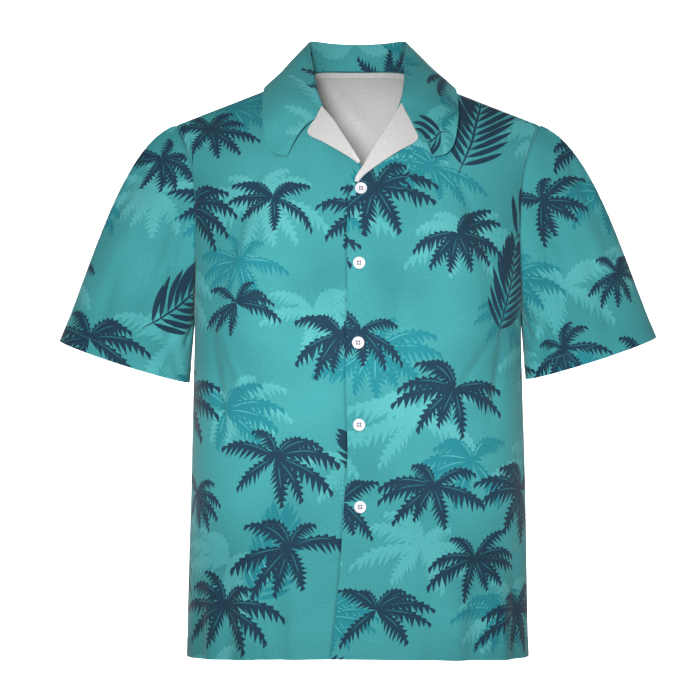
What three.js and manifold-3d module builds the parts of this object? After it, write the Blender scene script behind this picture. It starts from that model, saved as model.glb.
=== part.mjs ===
// Short-sleeve shirt with an open camp collar, held up as if worn, with nobody in it.
//
// Millimetres, +Z up. The origin lies between the two high shoulder points, where a wearer
// would hold the shirt. The front faces -Y and the wearer's left is +X.
// Every cloth piece is a thin closed wall, and pieces stay SEAM apart where they are sewn.

import * as THREE from "three";
import { mergeVertices } from "three/addons/utils/BufferGeometryUtils.js";
import Module from "manifold-3d";

const wasm = await Module();
wasm.setup();

// Driving sizes
const WALL = 1.6;
const SEAM = 0.3;
const FRONT = -1;
const BACK = 1;
const LEFT = 1;
const RIGHT = -1;

const HEM_FRONT_Z = -724;
const HEM_SIDE_Z = -733;
const ARMPIT_Z = -305;
const NECK_HALF = 70;
const NECK_Z = 2;
const SHOULDER_SLOPE = 0.392;
const SHOULDER_TIP_X = 231;
const ROUNDNESS = 2.3;

// Torso sections: half the width, and the depth from the side seam to the front and the back
const TORSO = [
  { z: -740, half: 217, front: 124, back: 113 },
  { z: -600, half: 214, front: 125, back: 112 },
  { z: -480, half: 210.5, front: 125, back: 111 },
  { z: -380, half: 207.5, front: 125, back: 111 },
  { z: -305, half: 207, front: 125, back: 112 },
  { z: -250, half: 214, front: 124.5, back: 112 },
  { z: -190, half: 225, front: 123.5, back: 112 },
  { z: -130, half: 236, front: 122, back: 112 },
  { z: -80, half: 249, front: 121, back: 111 },
  { z: -40, half: 261, front: 120, back: 110 },
  { z: 0, half: 274, front: 119, back: 110 },
  { z: 60, half: 292, front: 118, back: 110 },
];

// How the upper front and back curve up to the shoulder seam
const UPPER = {
  [FRONT]: { column: "front", reach: 232, neckRise: 22, bend: 1.6, power: 0.8 },
  [BACK]: { column: "back", reach: 160, neckRise: 36, bend: 2, power: 0.5 },
};

// Armhole seam, the same seen from the front and the back
const ARMHOLE = [
  { z: -305, x: 207 },
  { z: -250, x: 204.5 },
  { z: -190, x: 203.5 },
  { z: -130, x: 208 },
  { z: -95, x: 217 },
  { z: -62.4, x: 231 },
];

// Free edge of the upper front, and the hidden edge of the one below it
const FRONT_EDGE = {
  [LEFT]: [
    { z: -735, x: -35 },
    { z: -665, x: -27 },
    { z: -600, x: -21.5 },
    { z: -529, x: -17 },
    { z: -470, x: -13 },
    { z: -383, x: -15.5 },
    { z: -280, x: -13.5 },
    { z: -164, x: -12.5 },
    { z: -146, x: -4 },
  ],
  [RIGHT]: [
    { z: -735, x: 0 },
    { z: -600, x: 8 },
    { z: -400, x: 14 },
    { z: -140, x: 15 },
  ],
};

// Top edge of each front from its free edge along the roll line to the shoulder neck point
const NECKLINE = {
  [LEFT]: [
    { x: -4, z: -146 },
    { x: 0, z: -133 },
    { x: 8.6, z: -119 },
    { x: 22.2, z: -94 },
    { x: 39.8, z: -66 },
    { x: 48, z: -54 },
    { x: 57, z: -39 },
    { x: 65, z: -18 },
    { x: 70, z: 2 },
  ],
  [RIGHT]: [
    { x: -15, z: -141 },
    { x: -4.3, z: -121 },
    { x: 7.4, z: -100 },
    { x: 22.3, z: -77 },
    { x: 31, z: -65 },
    { x: 41, z: -56 },
    { x: 52, z: -41 },
    { x: 62, z: -19 },
    { x: 70, z: 2 },
  ],
};

const BACK_NECK = [
  { x: 0, z: 12.5 },
  { x: 35, z: 11.5 },
  { x: 55, z: 8.5 },
  { x: 70, z: 2 },
];

// Grid counts
const ROWS_BELOW = 11;
const ROWS_ABOVE = 11;
const SLEEVE_STEPS = 11;

// Largest folds of the body: a soft valley (negative) or ridge along a leaning line
const BODY_FOLDS = [
  { side: FRONT, x: -168, top: -560, bottom: -760, lean: 10, width: 15, depth: -5 },
  { side: FRONT, x: -140, top: -590, bottom: -770, lean: -6, width: 13, depth: 4 },
  { side: FRONT, x: -112, top: -520, bottom: -760, lean: 14, width: 17, depth: -4 },
  { side: FRONT, x: 150, top: -540, bottom: -770, lean: -8, width: 17, depth: -5 },
  { side: FRONT, x: 118, top: -600, bottom: -770, lean: 6, width: 14, depth: 3.5 },
  { side: FRONT, x: -60, top: -330, bottom: -700, lean: 22, width: 24, depth: -3 },
  { side: FRONT, x: 74, top: -300, bottom: -640, lean: -18, width: 26, depth: -3 },
  { side: FRONT, x: -150, top: -150, bottom: -330, lean: -34, width: 17, depth: -4 },
  { side: FRONT, x: 152, top: -160, bottom: -330, lean: 30, width: 17, depth: -4 },
  { side: BACK, x: -150, top: -520, bottom: -770, lean: 12, width: 17, depth: -6 },
  { side: BACK, x: -96, top: -430, bottom: -770, lean: -10, width: 20, depth: 4 },
  { side: BACK, x: -40, top: -480, bottom: -770, lean: 10, width: 19, depth: -5 },
  { side: BACK, x: 28, top: -400, bottom: -770, lean: -8, width: 22, depth: 4 },
  { side: BACK, x: 88, top: -500, bottom: -770, lean: 12, width: 18, depth: -6 },
  { side: BACK, x: 152, top: -560, bottom: -770, lean: -8, width: 16, depth: -4 },
  { side: BACK, x: -140, top: -140, bottom: -340, lean: -30, width: 18, depth: -5 },
  { side: BACK, x: 138, top: -150, bottom: -350, lean: 32, width: 18, depth: -5 },
];

// Sleeve: its hem ring and how it leaves the armhole
const CUFF = { x: 295.5, y: -4, outX: 82.5, outZ: 26.5, depth: 50, dip: 4 };
const CUFF_Z = { [LEFT]: -357, [RIGHT]: -361.5 };
const SLEEVE_FLOW = {
  topStart: { x: 203, z: -74 },
  topEnd: { x: 121, z: -285 },
  underStart: { x: 6, z: -88 },
  underEnd: { x: 8, z: -86 },
};

// The gap along X at the armhole, and the share of a sleeve's length that its folds fade over
const SLEEVE_GAP = 0.48;
const SLEEVE_SEAM_FLAT = 0.12;

// Largest folds of a sleeve: around is 0 at the top, 90 at the front, 180 under the arm
const SLEEVE_FOLDS = [
  { around: 118, along: 0.3, lean: -40, width: 11, length: 0.24, depth: -7 },
  { around: 76, along: 0.3, lean: 12, width: 9, length: 0.2, depth: -4 },
  { around: 52, along: 0.5, lean: -10, width: 11, length: 0.24, depth: 3.5 },
  { around: 140, along: 0.8, lean: 24, width: 12, length: 0.2, depth: -4 },
  { around: 244, along: 0.32, lean: 40, width: 12, length: 0.24, depth: -7 },
  { around: 290, along: 0.45, lean: -14, width: 11, length: 0.26, depth: 4 },
  { around: 216, along: 0.8, lean: -20, width: 12, length: 0.2, depth: -4 },
];

// Collar stations from its front edge round to the back centre: the roll line and the leaf's
// outer edge. The first two lie on the gorge, where the collar has no stand, and the third is
// where the roll line leaves it. A shift moves the roll of the wearer's right side.
const COLLAR_STATIONS = [
  { name: "front edge", leaf: [92, -80, -109] },
  { name: "gorge", leaf: [109, -77, -104] },
  { name: "roll start", leaf: [119, -70, -91] },
  { name: "chest", roll: [57.5, -45, -26], shift: -6, leaf: [124, -58, -68] },
  { name: "fore neck", roll: [60.5, -25, -7], shift: -5, leaf: [126, -36, -45] },
  { name: "shoulder", roll: [61.5, -3, 14], shift: -2, leaf: [124, 0.5, -16] },
  { name: "side", roll: [63.5, 20, 38], shift: 0, leaf: [118, 25, -18] },
  { name: "corner", roll: [60.5, 42, 49.5], shift: 0, leaf: [99, 62, -14] },
  { name: "back", roll: [36, 58, 49], shift: 0, leaf: [60, 86, -16] },
  { name: "back centre", roll: [0, 64, 48], shift: 0, leaf: [0, 94, -18] },
];
const SHOULDER_STATION = 5;
const GORGE_STATIONS = 2;
const GORGE = {
  [LEFT]: [
    { x: 68.6, z: -72.2 },
    { x: 61.8, z: -56.5 },
    { x: 54.2, z: -40 },
  ],
  [RIGHT]: [
    { x: 51.8, z: -59.6 },
    { x: 49.4, z: -52.5 },
    { x: 45.8, z: -43.5 },
  ],
};
const BACK_STATIONS = [
  { x: 70, z: 2 },
  { x: 66, z: 4.4 },
  { x: 55, z: 8.5 },
  { x: 35, z: 11.5 },
  { x: 0, z: 12.5 },
];
const LEAF_SPREAD = { [LEFT]: 1, [RIGHT]: 0.95 };
const STAND_STEPS = 2;
const FALL_STEPS = 6;
const ROLL_RADIUS = 2;
const LEAF_CLEAR = 3.2;
const LEAF_BULGE = 8;
const NECK_GAP = 0.9;

// Lapels: the roll line and the free outer edge, top to bottom
const LAPELS = {
  [LEFT]: {
    roll: [
      { x: 52.5, z: -44.5 },
      { x: 39.8, z: -65.5 },
      { x: 22.2, z: -93.5 },
      { x: 8.6, z: -118.5 },
      { x: 0, z: -132 },
      { x: -3.4, z: -141 },
    ],
    edge: [
      { x: 66, z: -74.5 },
      { x: 73, z: -87 },
      { x: 50, z: -103 },
      { x: 27, z: -119 },
      { x: 8, z: -133 },
      { x: 0, z: -142.5 },
    ],
  },
  [RIGHT]: {
    roll: [
      { x: -43, z: -50 },
      { x: -31, z: -62.5 },
      { x: -22.3, z: -76.5 },
      { x: -13, z: -91 },
      { x: -4, z: -106 },
      { x: 2, z: -116.5 },
    ],
    edge: [
      { x: -49, z: -63 },
      { x: -62, z: -78.5 },
      { x: -42, z: -92 },
      { x: -23, z: -103.5 },
      { x: -8, z: -112.5 },
      { x: 0, z: -118.8 },
    ],
  },
};
const LAPEL_STEPS = 12;
const LAPEL_ACROSS = 5;
const LAPEL_LIFT = 2.6;
const LAPEL_TIP_LIFT = 2.2;

// Where the two fronts lap, the upper one stands out and the lower one lies back
const LAP_LIFT = 1.5;
const LAP_FLAT = 24;
const LAP_REACH = 60;

// Buttons
const BUTTONS = [
  { x: 3.4, z: -150 },
  { x: 1.2, z: -241 },
  { x: 0, z: -338 },
  { x: 1.2, z: -438 },
  { x: 2.4, z: -538 },
];
const BUTTON = { radius: 7.4, thick: 2.6, rim: 1.3, dish: 0.7, hole: 0.85, holeAway: 1.75 };

// Materials
const printedCloth = new THREE.MeshStandardMaterial({ color: 0x3f9c9e, roughness: 0.85 });
const plainCloth = new THREE.MeshStandardMaterial({ color: 0xe6e6e4, roughness: 0.85 });
const buttonResin = new THREE.MeshStandardMaterial({ color: 0xeeeef0, roughness: 0.35 });

// A smooth curve through a table's rows: the value of one column at one place
function sample(table, key, at, column) {
  const rising = table[table.length - 1][key] > table[0][key];
  const rows = rising ? table : [...table].reverse();
  const count = rows.length;
  const first = rows[0];
  const last = rows[count - 1];
  if (at <= first[key]) return first[column];
  if (at >= last[key]) return last[column];
  let i = 0;
  while (rows[i + 1][key] < at) i += 1;
  const a = rows[i];
  const b = rows[i + 1];
  const before = rows[Math.max(0, i - 1)];
  const after = rows[Math.min(count - 1, i + 2)];
  const span = b[key] - a[key];
  const slopeA = (b[column] - before[column]) / (b[key] - before[key]);
  const slopeB = (after[column] - a[column]) / (after[key] - a[key]);
  const t = (at - a[key]) / span;
  const t2 = t * t;
  const t3 = t2 * t;
  return (2 * t3 - 3 * t2 + 1) * a[column]
    + (t3 - 2 * t2 + t) * span * slopeA
    + (3 * t2 - 2 * t3) * b[column]
    + (t3 - t2) * span * slopeB;
}

function clamp(value, low, high) {
  return Math.min(high, Math.max(low, value));
}

function smooth(t) {
  const s = clamp(t, 0, 1);
  return s * s * (3 - 2 * s);
}

// Height of the shoulder line above a place across the body
function ridge(side, x) {
  const out = Math.abs(x);
  if (out >= NECK_HALF) return NECK_Z - SHOULDER_SLOPE * (out - NECK_HALF);
  return NECK_Z + UPPER[side].neckRise * (1 - (out / NECK_HALF) ** 2);
}

// Depth of the smooth body in front of, or behind, the plane of the side seams
function depth(side, x, z) {
  const form = UPPER[side];
  const half = sample(TORSO, "z", z, "half");
  const full = sample(TORSO, "z", z, form.column);
  const across = Math.min(1, Math.abs(x) / half);
  const round = (1 - across ** ROUNDNESS) ** (1 / ROUNDNESS);
  const below = clamp((ridge(side, x) - z) / form.reach, 0, 1);
  return full * round * (1 - (1 - below) ** form.bend) ** form.power;
}

function bodyNormal(side, x, z) {
  const step = 0.6;
  const alongX = (depth(side, x + step, z) - depth(side, x - step, z)) / (2 * step);
  const alongZ = (depth(side, x, z + step) - depth(side, x, z - step)) / (2 * step);
  return new THREE.Vector3(-alongX, side, -alongZ).normalize();
}

function bodyFold(side, x, z) {
  let total = 0;
  for (const fold of BODY_FOLDS) {
    if (fold.side !== side || z > fold.top) continue;
    const along = (fold.top - z) / (fold.top - fold.bottom);
    const line = fold.x + fold.lean * along;
    const ends = fold.bottom < HEM_SIDE_Z ? smooth(along * 1.8) : Math.sin(Math.PI * clamp(along, 0, 1));
    total += fold.depth * ends * Math.exp(-(((x - line) / fold.width) ** 2));
  }
  return total;
}

// A point of the body's outer face, moved out by lift, and the direction of its wall
function bodyPoint(side, x, z, lift = 0) {
  const normal = bodyNormal(side, x, z);
  const point = new THREE.Vector3(x, side * depth(side, x, z), z);
  point.addScaledVector(normal, lift + bodyFold(side, x, z));
  return { point, normal };
}

// Height of the body's top above a place seen from above
function heightAt(x, y) {
  const side = y < 0 ? FRONT : BACK;
  let low = ARMPIT_Z;
  let high = ridge(side, x);
  for (let i = 0; i < 30; i += 1) {
    const middle = (low + high) / 2;
    if (depth(side, x, middle) > Math.abs(y)) low = middle;
    else high = middle;
  }
  return low;
}

// Half of the body's width at a height: the side seam, and above it the armhole
function edgeAt(z) {
  return z < ARMPIT_Z ? sample(TORSO, "z", z, "half") : sample(ARMHOLE, "z", z, "x");
}

const TIP_Z = ridge(FRONT, SHOULDER_TIP_X);

// Heights of a panel's rows along its outer edge: even below the armpit, and round the armhole
// as on an oval above it
function rowHeights(hem) {
  const rows = [];
  for (let i = 0; i < ROWS_BELOW; i += 1) {
    rows.push(hem + (ARMPIT_Z - hem) * (i / ROWS_BELOW));
  }
  for (let i = 0; i <= ROWS_ABOVE; i += 1) {
    const turn = Math.cos(Math.PI * (i / ROWS_ABOVE));
    rows.push((TIP_Z + ARMPIT_Z) / 2 - ((TIP_Z - ARMPIT_Z) / 2) * turn);
  }
  return rows;
}

// A closed wall between two grids of points. closed joins the last row to the first.
function wallSolid(outer, inner, closed = false, present = () => true) {
  const rows = outer.length;
  const columns = outer[0].length;
  const positions = [];
  for (const grid of [outer, inner]) {
    for (const row of grid) {
      for (const p of row) positions.push(p.x, p.y, p.z);
    }
  }
  const at = (face, i, j) => (face * rows + (i % rows)) * columns + j;
  const index = [];
  const quad = (a, b, c, d) => index.push(a, b, c, a, c, d);
  const cellRows = closed ? rows : rows - 1;
  const has = (i, j) => {
    const row = closed ? (i + rows) % rows : i;
    return row >= 0 && row < cellRows && j >= 0 && j < columns - 1 && present(row, j);
  };
  for (let i = 0; i < cellRows; i += 1) {
    for (let j = 0; j < columns - 1; j += 1) {
      if (!has(i, j)) continue;
      quad(at(0, i, j), at(0, i, j + 1), at(0, i + 1, j + 1), at(0, i + 1, j));
      quad(at(1, i, j), at(1, i + 1, j), at(1, i + 1, j + 1), at(1, i, j + 1));
      if (!has(i, j - 1)) quad(at(0, i, j), at(0, i + 1, j), at(1, i + 1, j), at(1, i, j));
      if (!has(i, j + 1)) {
        quad(at(0, i + 1, j + 1), at(0, i, j + 1), at(1, i, j + 1), at(1, i + 1, j + 1));
      }
      if (!has(i - 1, j)) quad(at(0, i, j + 1), at(0, i, j), at(1, i, j), at(1, i, j + 1));
      if (!has(i + 1, j)) {
        quad(at(0, i + 1, j), at(0, i + 1, j + 1), at(1, i + 1, j + 1), at(1, i + 1, j));
      }
    }
  }
  const used = new THREE.BufferGeometry();
  used.setAttribute("position", new THREE.Float32BufferAttribute(positions, 3));
  used.setIndex(index);
  return facingOut(used);
}

// Turns a closed mesh's faces round if its volume comes out negative
function facingOut(geometry) {
  const p = geometry.attributes.position;
  const order = geometry.index.array;
  const a = new THREE.Vector3();
  const b = new THREE.Vector3();
  const c = new THREE.Vector3();
  let volume = 0;
  for (let i = 0; i < order.length; i += 3) {
    a.fromBufferAttribute(p, order[i]);
    b.fromBufferAttribute(p, order[i + 1]);
    c.fromBufferAttribute(p, order[i + 2]);
    volume += a.dot(b.cross(c));
  }
  if (volume < 0) {
    const turned = Array.from(order);
    for (let i = 0; i < turned.length; i += 3) {
      [turned[i + 1], turned[i + 2]] = [turned[i + 2], turned[i + 1]];
    }
    geometry.setIndex(turned);
  }
  return geometry;
}

// The same surface with its shared vertices merged and nothing but positions kept
function mergedCopy(geometry) {
  const plain = geometry.index ? geometry.toNonIndexed() : geometry.clone();
  plain.deleteAttribute("normal");
  plain.deleteAttribute("uv");
  return mergeVertices(plain, 1e-4);
}

function mesh(name, geometry, material) {
  const body = mergedCopy(geometry);
  body.computeVertexNormals();
  const made = new THREE.Mesh(body, material);
  made.name = name;
  return made;
}

// Points spread along a table of x and z, evenly by its rows
function alongTable(table, t) {
  const place = t * (table.length - 1);
  const rows = table.map((row, order) => ({ order, x: row.x, z: row.z }));
  return { x: sample(rows, "order", place, "x"), z: sample(rows, "order", place, "z") };
}

// Panels

// Columns of a panel: each runs from the hem up to its place on the top edge. A column is
// named by how far across it is, from the middle (0) to the side seam and armhole (1).
function panelGrid(side, hand, columns, topOf, middleOf, liftOf) {
  const outer = [];
  const inner = [];
  const hem = side === FRONT ? HEM_FRONT_Z : HEM_SIDE_Z;
  for (let j = 0; j < columns.length; j += 1) {
    const across = columns[j];
    const rows = rowHeights(hem + (HEM_SIDE_Z - hem) * across ** 2);
    const top = rows[rows.length - 1];
    const last = j === columns.length - 1;
    const highest = topOf(across);
    const outerColumn = [];
    const innerColumn = [];
    rows.forEach((level, i) => {
      const above = level > ARMPIT_Z;
      const rise = (level - ARMPIT_Z) / (top - ARMPIT_Z);
      const z = above ? ARMPIT_Z + (highest - ARMPIT_Z) * rise : level;
      const edge = edgeAt(Math.min(z, last ? level : z));
      const middle = middleOf(z);
      const x = hand * (middle + across * (edge - middle));
      const { point, normal } = bodyPoint(side, x, z, liftOf(x, z));
      const onSeam = last && level <= ARMPIT_Z;
      const onShoulder = i === rows.length - 1 && Math.abs(x) >= NECK_HALF - 0.01;
      if (onSeam || onShoulder) normal.setY(0).normalize();
      point.y += side * SEAM;
      outerColumn.push(point);
      innerColumn.push(point.clone().addScaledVector(normal, -WALL));
    });
    outer.push(outerColumn);
    inner.push(innerColumn);
  }
  return { outer, inner };
}

// How far across a place on the top edge is, the same at every height of its column
function acrossAt(x, z, middleOf) {
  const middle = middleOf(z);
  return (x - middle) / (edgeAt(z) - middle);
}

// Places from the neck point to the shoulder tip, closer together near the tip
function shoulderColumns(start, count) {
  const places = [];
  const from = Math.asin(start);
  for (let i = 1; i <= count; i += 1) {
    places.push(Math.sin(from + (Math.PI / 2 - from) * (i / count)));
  }
  places[count - 1] = 1;
  return places;
}

// Where a column meets the top edge: the height at which its place across lies on that edge
function topHeight(across, topAt, middleOf) {
  let low = ARMPIT_Z;
  let high = 60;
  for (let i = 0; i < 40; i += 1) {
    const z = (low + high) / 2;
    const middle = middleOf(z);
    const x = middle + across * (edgeAt(z) - middle);
    if (topAt(x) > z) low = z;
    else high = z;
  }
  return (low + high) / 2;
}

function frontPanel(hand) {
  const edgeRows = FRONT_EDGE[hand].map((row) => ({ z: row.z, x: row.x * hand }));
  const neck = NECKLINE[hand];
  const middleOf = (z) => sample(edgeRows, "z", z, "x");
  const topAt = (x) => (x >= NECK_HALF ? ridge(FRONT, x) : sample(neck, "x", x, "z"));
  const neckColumns = [];
  neck.forEach((row) => neckColumns.push(acrossAt(row.x, row.z, middleOf)));
  neckColumns[0] = 0;
  const start = neckColumns[neckColumns.length - 1];
  const columns = [...neckColumns, ...shoulderColumns(start, 10)];
  const lap = hand === LEFT ? LAP_LIFT : -LAP_LIFT;
  const liftOf = (x) => lap * (1 - smooth((Math.abs(x) - LAP_FLAT) / LAP_REACH));
  const heights = new Map();
  columns.forEach((across, j) => {
    const known = j < neck.length ? neck[j].z : topHeight(across, topAt, middleOf);
    heights.set(across, known);
  });
  heights.set(1, TIP_Z);
  return panelGrid(FRONT, hand, columns, (across) => heights.get(across), middleOf, liftOf);
}

function backPanel() {
  const middleOf = () => 0;
  const topAt = (x) => (x >= NECK_HALF ? ridge(BACK, x) : sample(BACK_NECK, "x", x, "z"));
  const half = [0];
  for (const x of [18, 35, 55, NECK_HALF]) half.push(acrossAt(x, topAt(x), middleOf));
  half.push(...shoulderColumns(half[half.length - 1], 10));
  const heights = new Map(half.map((across) => [across, topHeight(across, topAt, middleOf)]));
  heights.set(1, TIP_Z);
  const topOf = (across) => heights.get(across);
  const flat = () => 0;
  const left = panelGrid(BACK, LEFT, half, topOf, middleOf, flat);
  const right = panelGrid(BACK, RIGHT, half, topOf, middleOf, flat);
  return {
    outer: [...right.outer.slice(1).reverse(), ...left.outer],
    inner: [...right.inner.slice(1).reverse(), ...left.inner],
  };
}

// Sleeves

function sleeveFold(around, along) {
  let total = 0;
  for (const fold of SLEEVE_FOLDS) {
    const turn = around - fold.around - fold.lean * (along - fold.along) * 2;
    const up = (along - fold.along) / fold.length;
    total += fold.depth * Math.exp(-((turn / fold.width) ** 2) - up * up);
  }
  return total;
}

function blend(from, to, t) {
  return new THREE.Vector3(from.x + (to.x - from.x) * t, 0, from.z + (to.z - from.z) * t);
}

// A sleeve's outer face at one place round the armhole, from the seam to the cuff
function sleevePoint(hand, start, around, along) {
  const turn = THREE.MathUtils.degToRad(around);
  const top = (1 + Math.cos(turn)) / 2;
  const front = Math.sin(turn);
  const cuff = new THREE.Vector3(
    CUFF.x + CUFF.outX * Math.cos(turn),
    CUFF.y - CUFF.depth * front,
    CUFF_Z[hand] + CUFF.outZ * Math.cos(turn) - CUFF.dip * Math.abs(front),
  );
  const leave = blend(SLEEVE_FLOW.underStart, SLEEVE_FLOW.topStart, top);
  const arrive = blend(SLEEVE_FLOW.underEnd, SLEEVE_FLOW.topEnd, top);
  const t2 = along * along;
  const t3 = t2 * along;
  return new THREE.Vector3()
    .addScaledVector(start, 2 * t3 - 3 * t2 + 1)
    .addScaledVector(leave, t3 - 2 * t2 + along)
    .addScaledVector(cuff, 3 * t2 - 2 * t3)
    .addScaledVector(arrive, t3 - t2);
}

function sleeve(hand, frontEdge, backEdge) {
  const steps = [];
  for (let i = 0; i <= SLEEVE_STEPS; i += 1) steps.push(i / SLEEVE_STEPS);
  const ring = [];
  const count = ROWS_ABOVE;
  for (let i = count; i >= 1; i -= 1) {
    ring.push({ edge: frontEdge[i], around: 180 * (1 - i / count) });
  }
  for (let i = 0; i < count; i += 1) {
    ring.push({ edge: backEdge[i], around: 180 * (1 + i / count) });
  }
  const smoothGrid = ring.map(({ edge, around }) => {
    const start = new THREE.Vector3(edge.outer.x * hand, edge.outer.y, edge.outer.z);
    start.x += SLEEVE_GAP;
    if (around === 0 || around === 180) start.y = 0;
    return steps.map((along) => sleevePoint(hand, start, around, along));
  });
  const normals = gridNormals(smoothGrid, true);
  const outer = smoothGrid.map((line, i) => line.map((p, j) => {
    const fade = smooth(steps[j] / SLEEVE_SEAM_FLAT);
    const fold = sleeveFold(ring[i].around, steps[j]) * fade;
    return p.clone().addScaledVector(normals[i][j], fold);
  }));
  const walls = gridNormals(outer, true);
  const inner = outer.map((line, i) => line.map((p, j) => {
    const normal = walls[i][j].clone();
    if (j === 0) {
      const edge = ring[i].edge;
      const panel = edge.outer.clone().sub(edge.inner).normalize();
      normal.x = Math.min(normal.x, panel.x * hand);
      normal.normalize();
    }
    return p.clone().addScaledVector(normal, -WALL);
  }));
  for (const grid of [outer, inner]) {
    for (const line of grid) {
      for (const p of line) p.x *= hand;
    }
  }
  return wallSolid(outer, inner, true);
}

// The outward direction at each point of a grid, from its neighbours
function gridNormals(grid, closed) {
  const rows = grid.length;
  const columns = grid[0].length;
  return grid.map((line, i) => line.map((p, j) => {
    const before = closed ? (i + rows - 1) % rows : Math.max(0, i - 1);
    const after = closed ? (i + 1) % rows : Math.min(rows - 1, i + 1);
    const across = grid[after][j].clone().sub(grid[before][j]);
    const down = line[Math.min(columns - 1, j + 1)].clone().sub(line[Math.max(0, j - 1)]);
    return across.cross(down).normalize();
  }));
}

// Collar

// How far a point lies outside the body, and the direction away from it
function awayFromBody(p) {
  const side = p.y < 0 ? FRONT : BACK;
  const step = 2;
  const top = heightAt(p.x, p.y);
  const slopeX = (heightAt(p.x + step, p.y) - heightAt(p.x - step, p.y)) / (2 * step);
  const slopeY = (heightAt(p.x, p.y + step) - heightAt(p.x, p.y - step)) / (2 * step);
  if (Math.hypot(slopeX, slopeY) < 1.2) {
    const normal = new THREE.Vector3(-slopeX, -slopeY, 1);
    return { gap: (p.z - top) / normal.length(), normal: normal.normalize() };
  }
  const normal = bodyNormal(side, p.x, p.z);
  return { gap: (Math.abs(p.y) - depth(side, p.x, p.z)) * Math.abs(normal.y), normal };
}

function keepClear(p, clear) {
  for (let i = 0; i < 4; i += 1) {
    const { gap, normal } = awayFromBody(p);
    if (gap >= clear) break;
    p.addScaledVector(normal, clear - gap);
  }
  return p;
}

// The neck seam under one station: the top edge of the front, then that of the back
function neckSeam(index, hand) {
  const front = NECKLINE[hand];
  const onFront = index < SHOULDER_STATION;
  const past = index - SHOULDER_STATION;
  const row = onFront ? front[front.length - 1 + past] : BACK_STATIONS[past];
  const inward = onFront ? NECK_GAP : 0;
  const x = hand * (row.x - inward);
  return bodyPoint(onFront ? FRONT : BACK, x, row.z, -WALL / 2).point.setZ(row.z + NECK_GAP);
}

function collarStation(index, hand) {
  const row = COLLAR_STATIONS[index];
  const leaf = new THREE.Vector3(...row.leaf);
  leaf.x *= hand * LEAF_SPREAD[hand];
  keepClear(leaf, LEAF_CLEAR);
  const points = [];
  let start;
  if (index <= GORGE_STATIONS) {
    const place = GORGE[hand][index];
    start = bodyPoint(FRONT, hand * place.x, place.z, LEAF_CLEAR).point;
  } else {
    start = new THREE.Vector3(...row.roll);
    if (hand === RIGHT) start.x = -start.x - row.shift;
  }
  if (index >= GORGE_STATIONS) {
    const neck = neckSeam(index, hand);
    const out = leaf.clone().sub(start).setZ(0).normalize();
    const first = start.clone().addScaledVector(out, -ROLL_RADIUS);
    first.z -= ROLL_RADIUS;
    for (let i = 0; i <= STAND_STEPS; i += 1) points.push(neck.clone().lerp(first, i / STAND_STEPS));
    points.push(start.clone());
    start = start.clone().addScaledVector(out, ROLL_RADIUS);
    start.z -= ROLL_RADIUS;
  } else {
    for (let i = 0; i <= STAND_STEPS + 1; i += 1) points.push(start.clone());
  }
  for (let i = 0; i <= FALL_STEPS; i += 1) {
    const t = i / FALL_STEPS;
    const p = start.clone().lerp(leaf, t);
    p.z += LEAF_BULGE * Math.sin(Math.PI * t);
    points.push(keepClear(p, LEAF_CLEAR));
  }
  return points;
}

function collar() {
  const last = COLLAR_STATIONS.length - 1;
  const middle = [];
  for (let i = 0; i <= last; i += 1) middle.push(collarStation(i, RIGHT));
  for (let i = last - 1; i >= 0; i -= 1) middle.push(collarStation(i, LEFT));
  const rows = middle.length;
  const rollColumn = STAND_STEPS + 2;
  const hasStand = (i) => i >= GORGE_STATIONS && i < rows - 1 - GORGE_STATIONS;
  const present = (i, j) => j >= rollColumn || hasStand(i);
  const outer = middle.map((line) => line.map((p) => p.clone()));
  const inner = middle.map((line) => line.map((p) => p.clone()));
  middle.forEach((line, i) => line.forEach((p, j) => {
    const onGorge = i < GORGE_STATIONS || i > rows - 1 - GORGE_STATIONS;
    if (onGorge && j < rollColumn) return;
    const low = j >= rollColumn ? 0 : GORGE_STATIONS;
    const before = middle[Math.max(low, i - 1)][j];
    const after = middle[Math.min(rows - 1 - low, i + 1)][j];
    const lowest = onGorge ? rollColumn : 0;
    const down = line[Math.min(line.length - 1, j + 1)].clone();
    down.sub(line[Math.max(lowest, j - 1)]);
    const normal = down.cross(after.clone().sub(before)).normalize();
    outer[i][j].addScaledVector(normal, WALL / 2);
    inner[i][j].addScaledVector(normal, -WALL / 2);
  }));
  return wallSolid(outer, inner, false, present);
}

// Lapels

function lapel(hand) {
  const shape = LAPELS[hand];
  const outer = [];
  const inner = [];
  for (let i = 0; i <= LAPEL_STEPS; i += 1) {
    const t = i / LAPEL_STEPS;
    const from = alongTable(shape.roll, t);
    const to = alongTable(shape.edge, t);
    const outerRow = [];
    const innerRow = [];
    for (let j = 0; j <= LAPEL_ACROSS; j += 1) {
      const s = j / LAPEL_ACROSS;
      const x = from.x + (to.x - from.x) * s;
      const z = from.z + (to.z - from.z) * s;
      const lap = hand === LEFT ? LAP_LIFT : 0;
      const lift = LAPEL_LIFT + lap * (1 - smooth((Math.abs(x) - LAP_FLAT) / LAP_REACH));
      const tip = LAPEL_TIP_LIFT * s * Math.sin(Math.PI * clamp(1.6 * (1 - t) - 0.3, 0, 1));
      const { point, normal } = bodyPoint(FRONT, x, z, lift + tip);
      point.y -= SEAM;
      outerRow.push(point);
      innerRow.push(point.clone().addScaledVector(normal, -WALL));
    }
    outer.push(outerRow);
    inner.push(innerRow);
  }
  return wallSolid(outer, inner);
}

// Buttons

function toSolid(geometry) {
  const merged = mergedCopy(geometry);
  return new wasm.Manifold(new wasm.Mesh({
    numProp: 3,
    vertProperties: new Float32Array(merged.attributes.position.array),
    triVerts: new Uint32Array(merged.index.array),
  }));
}

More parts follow.
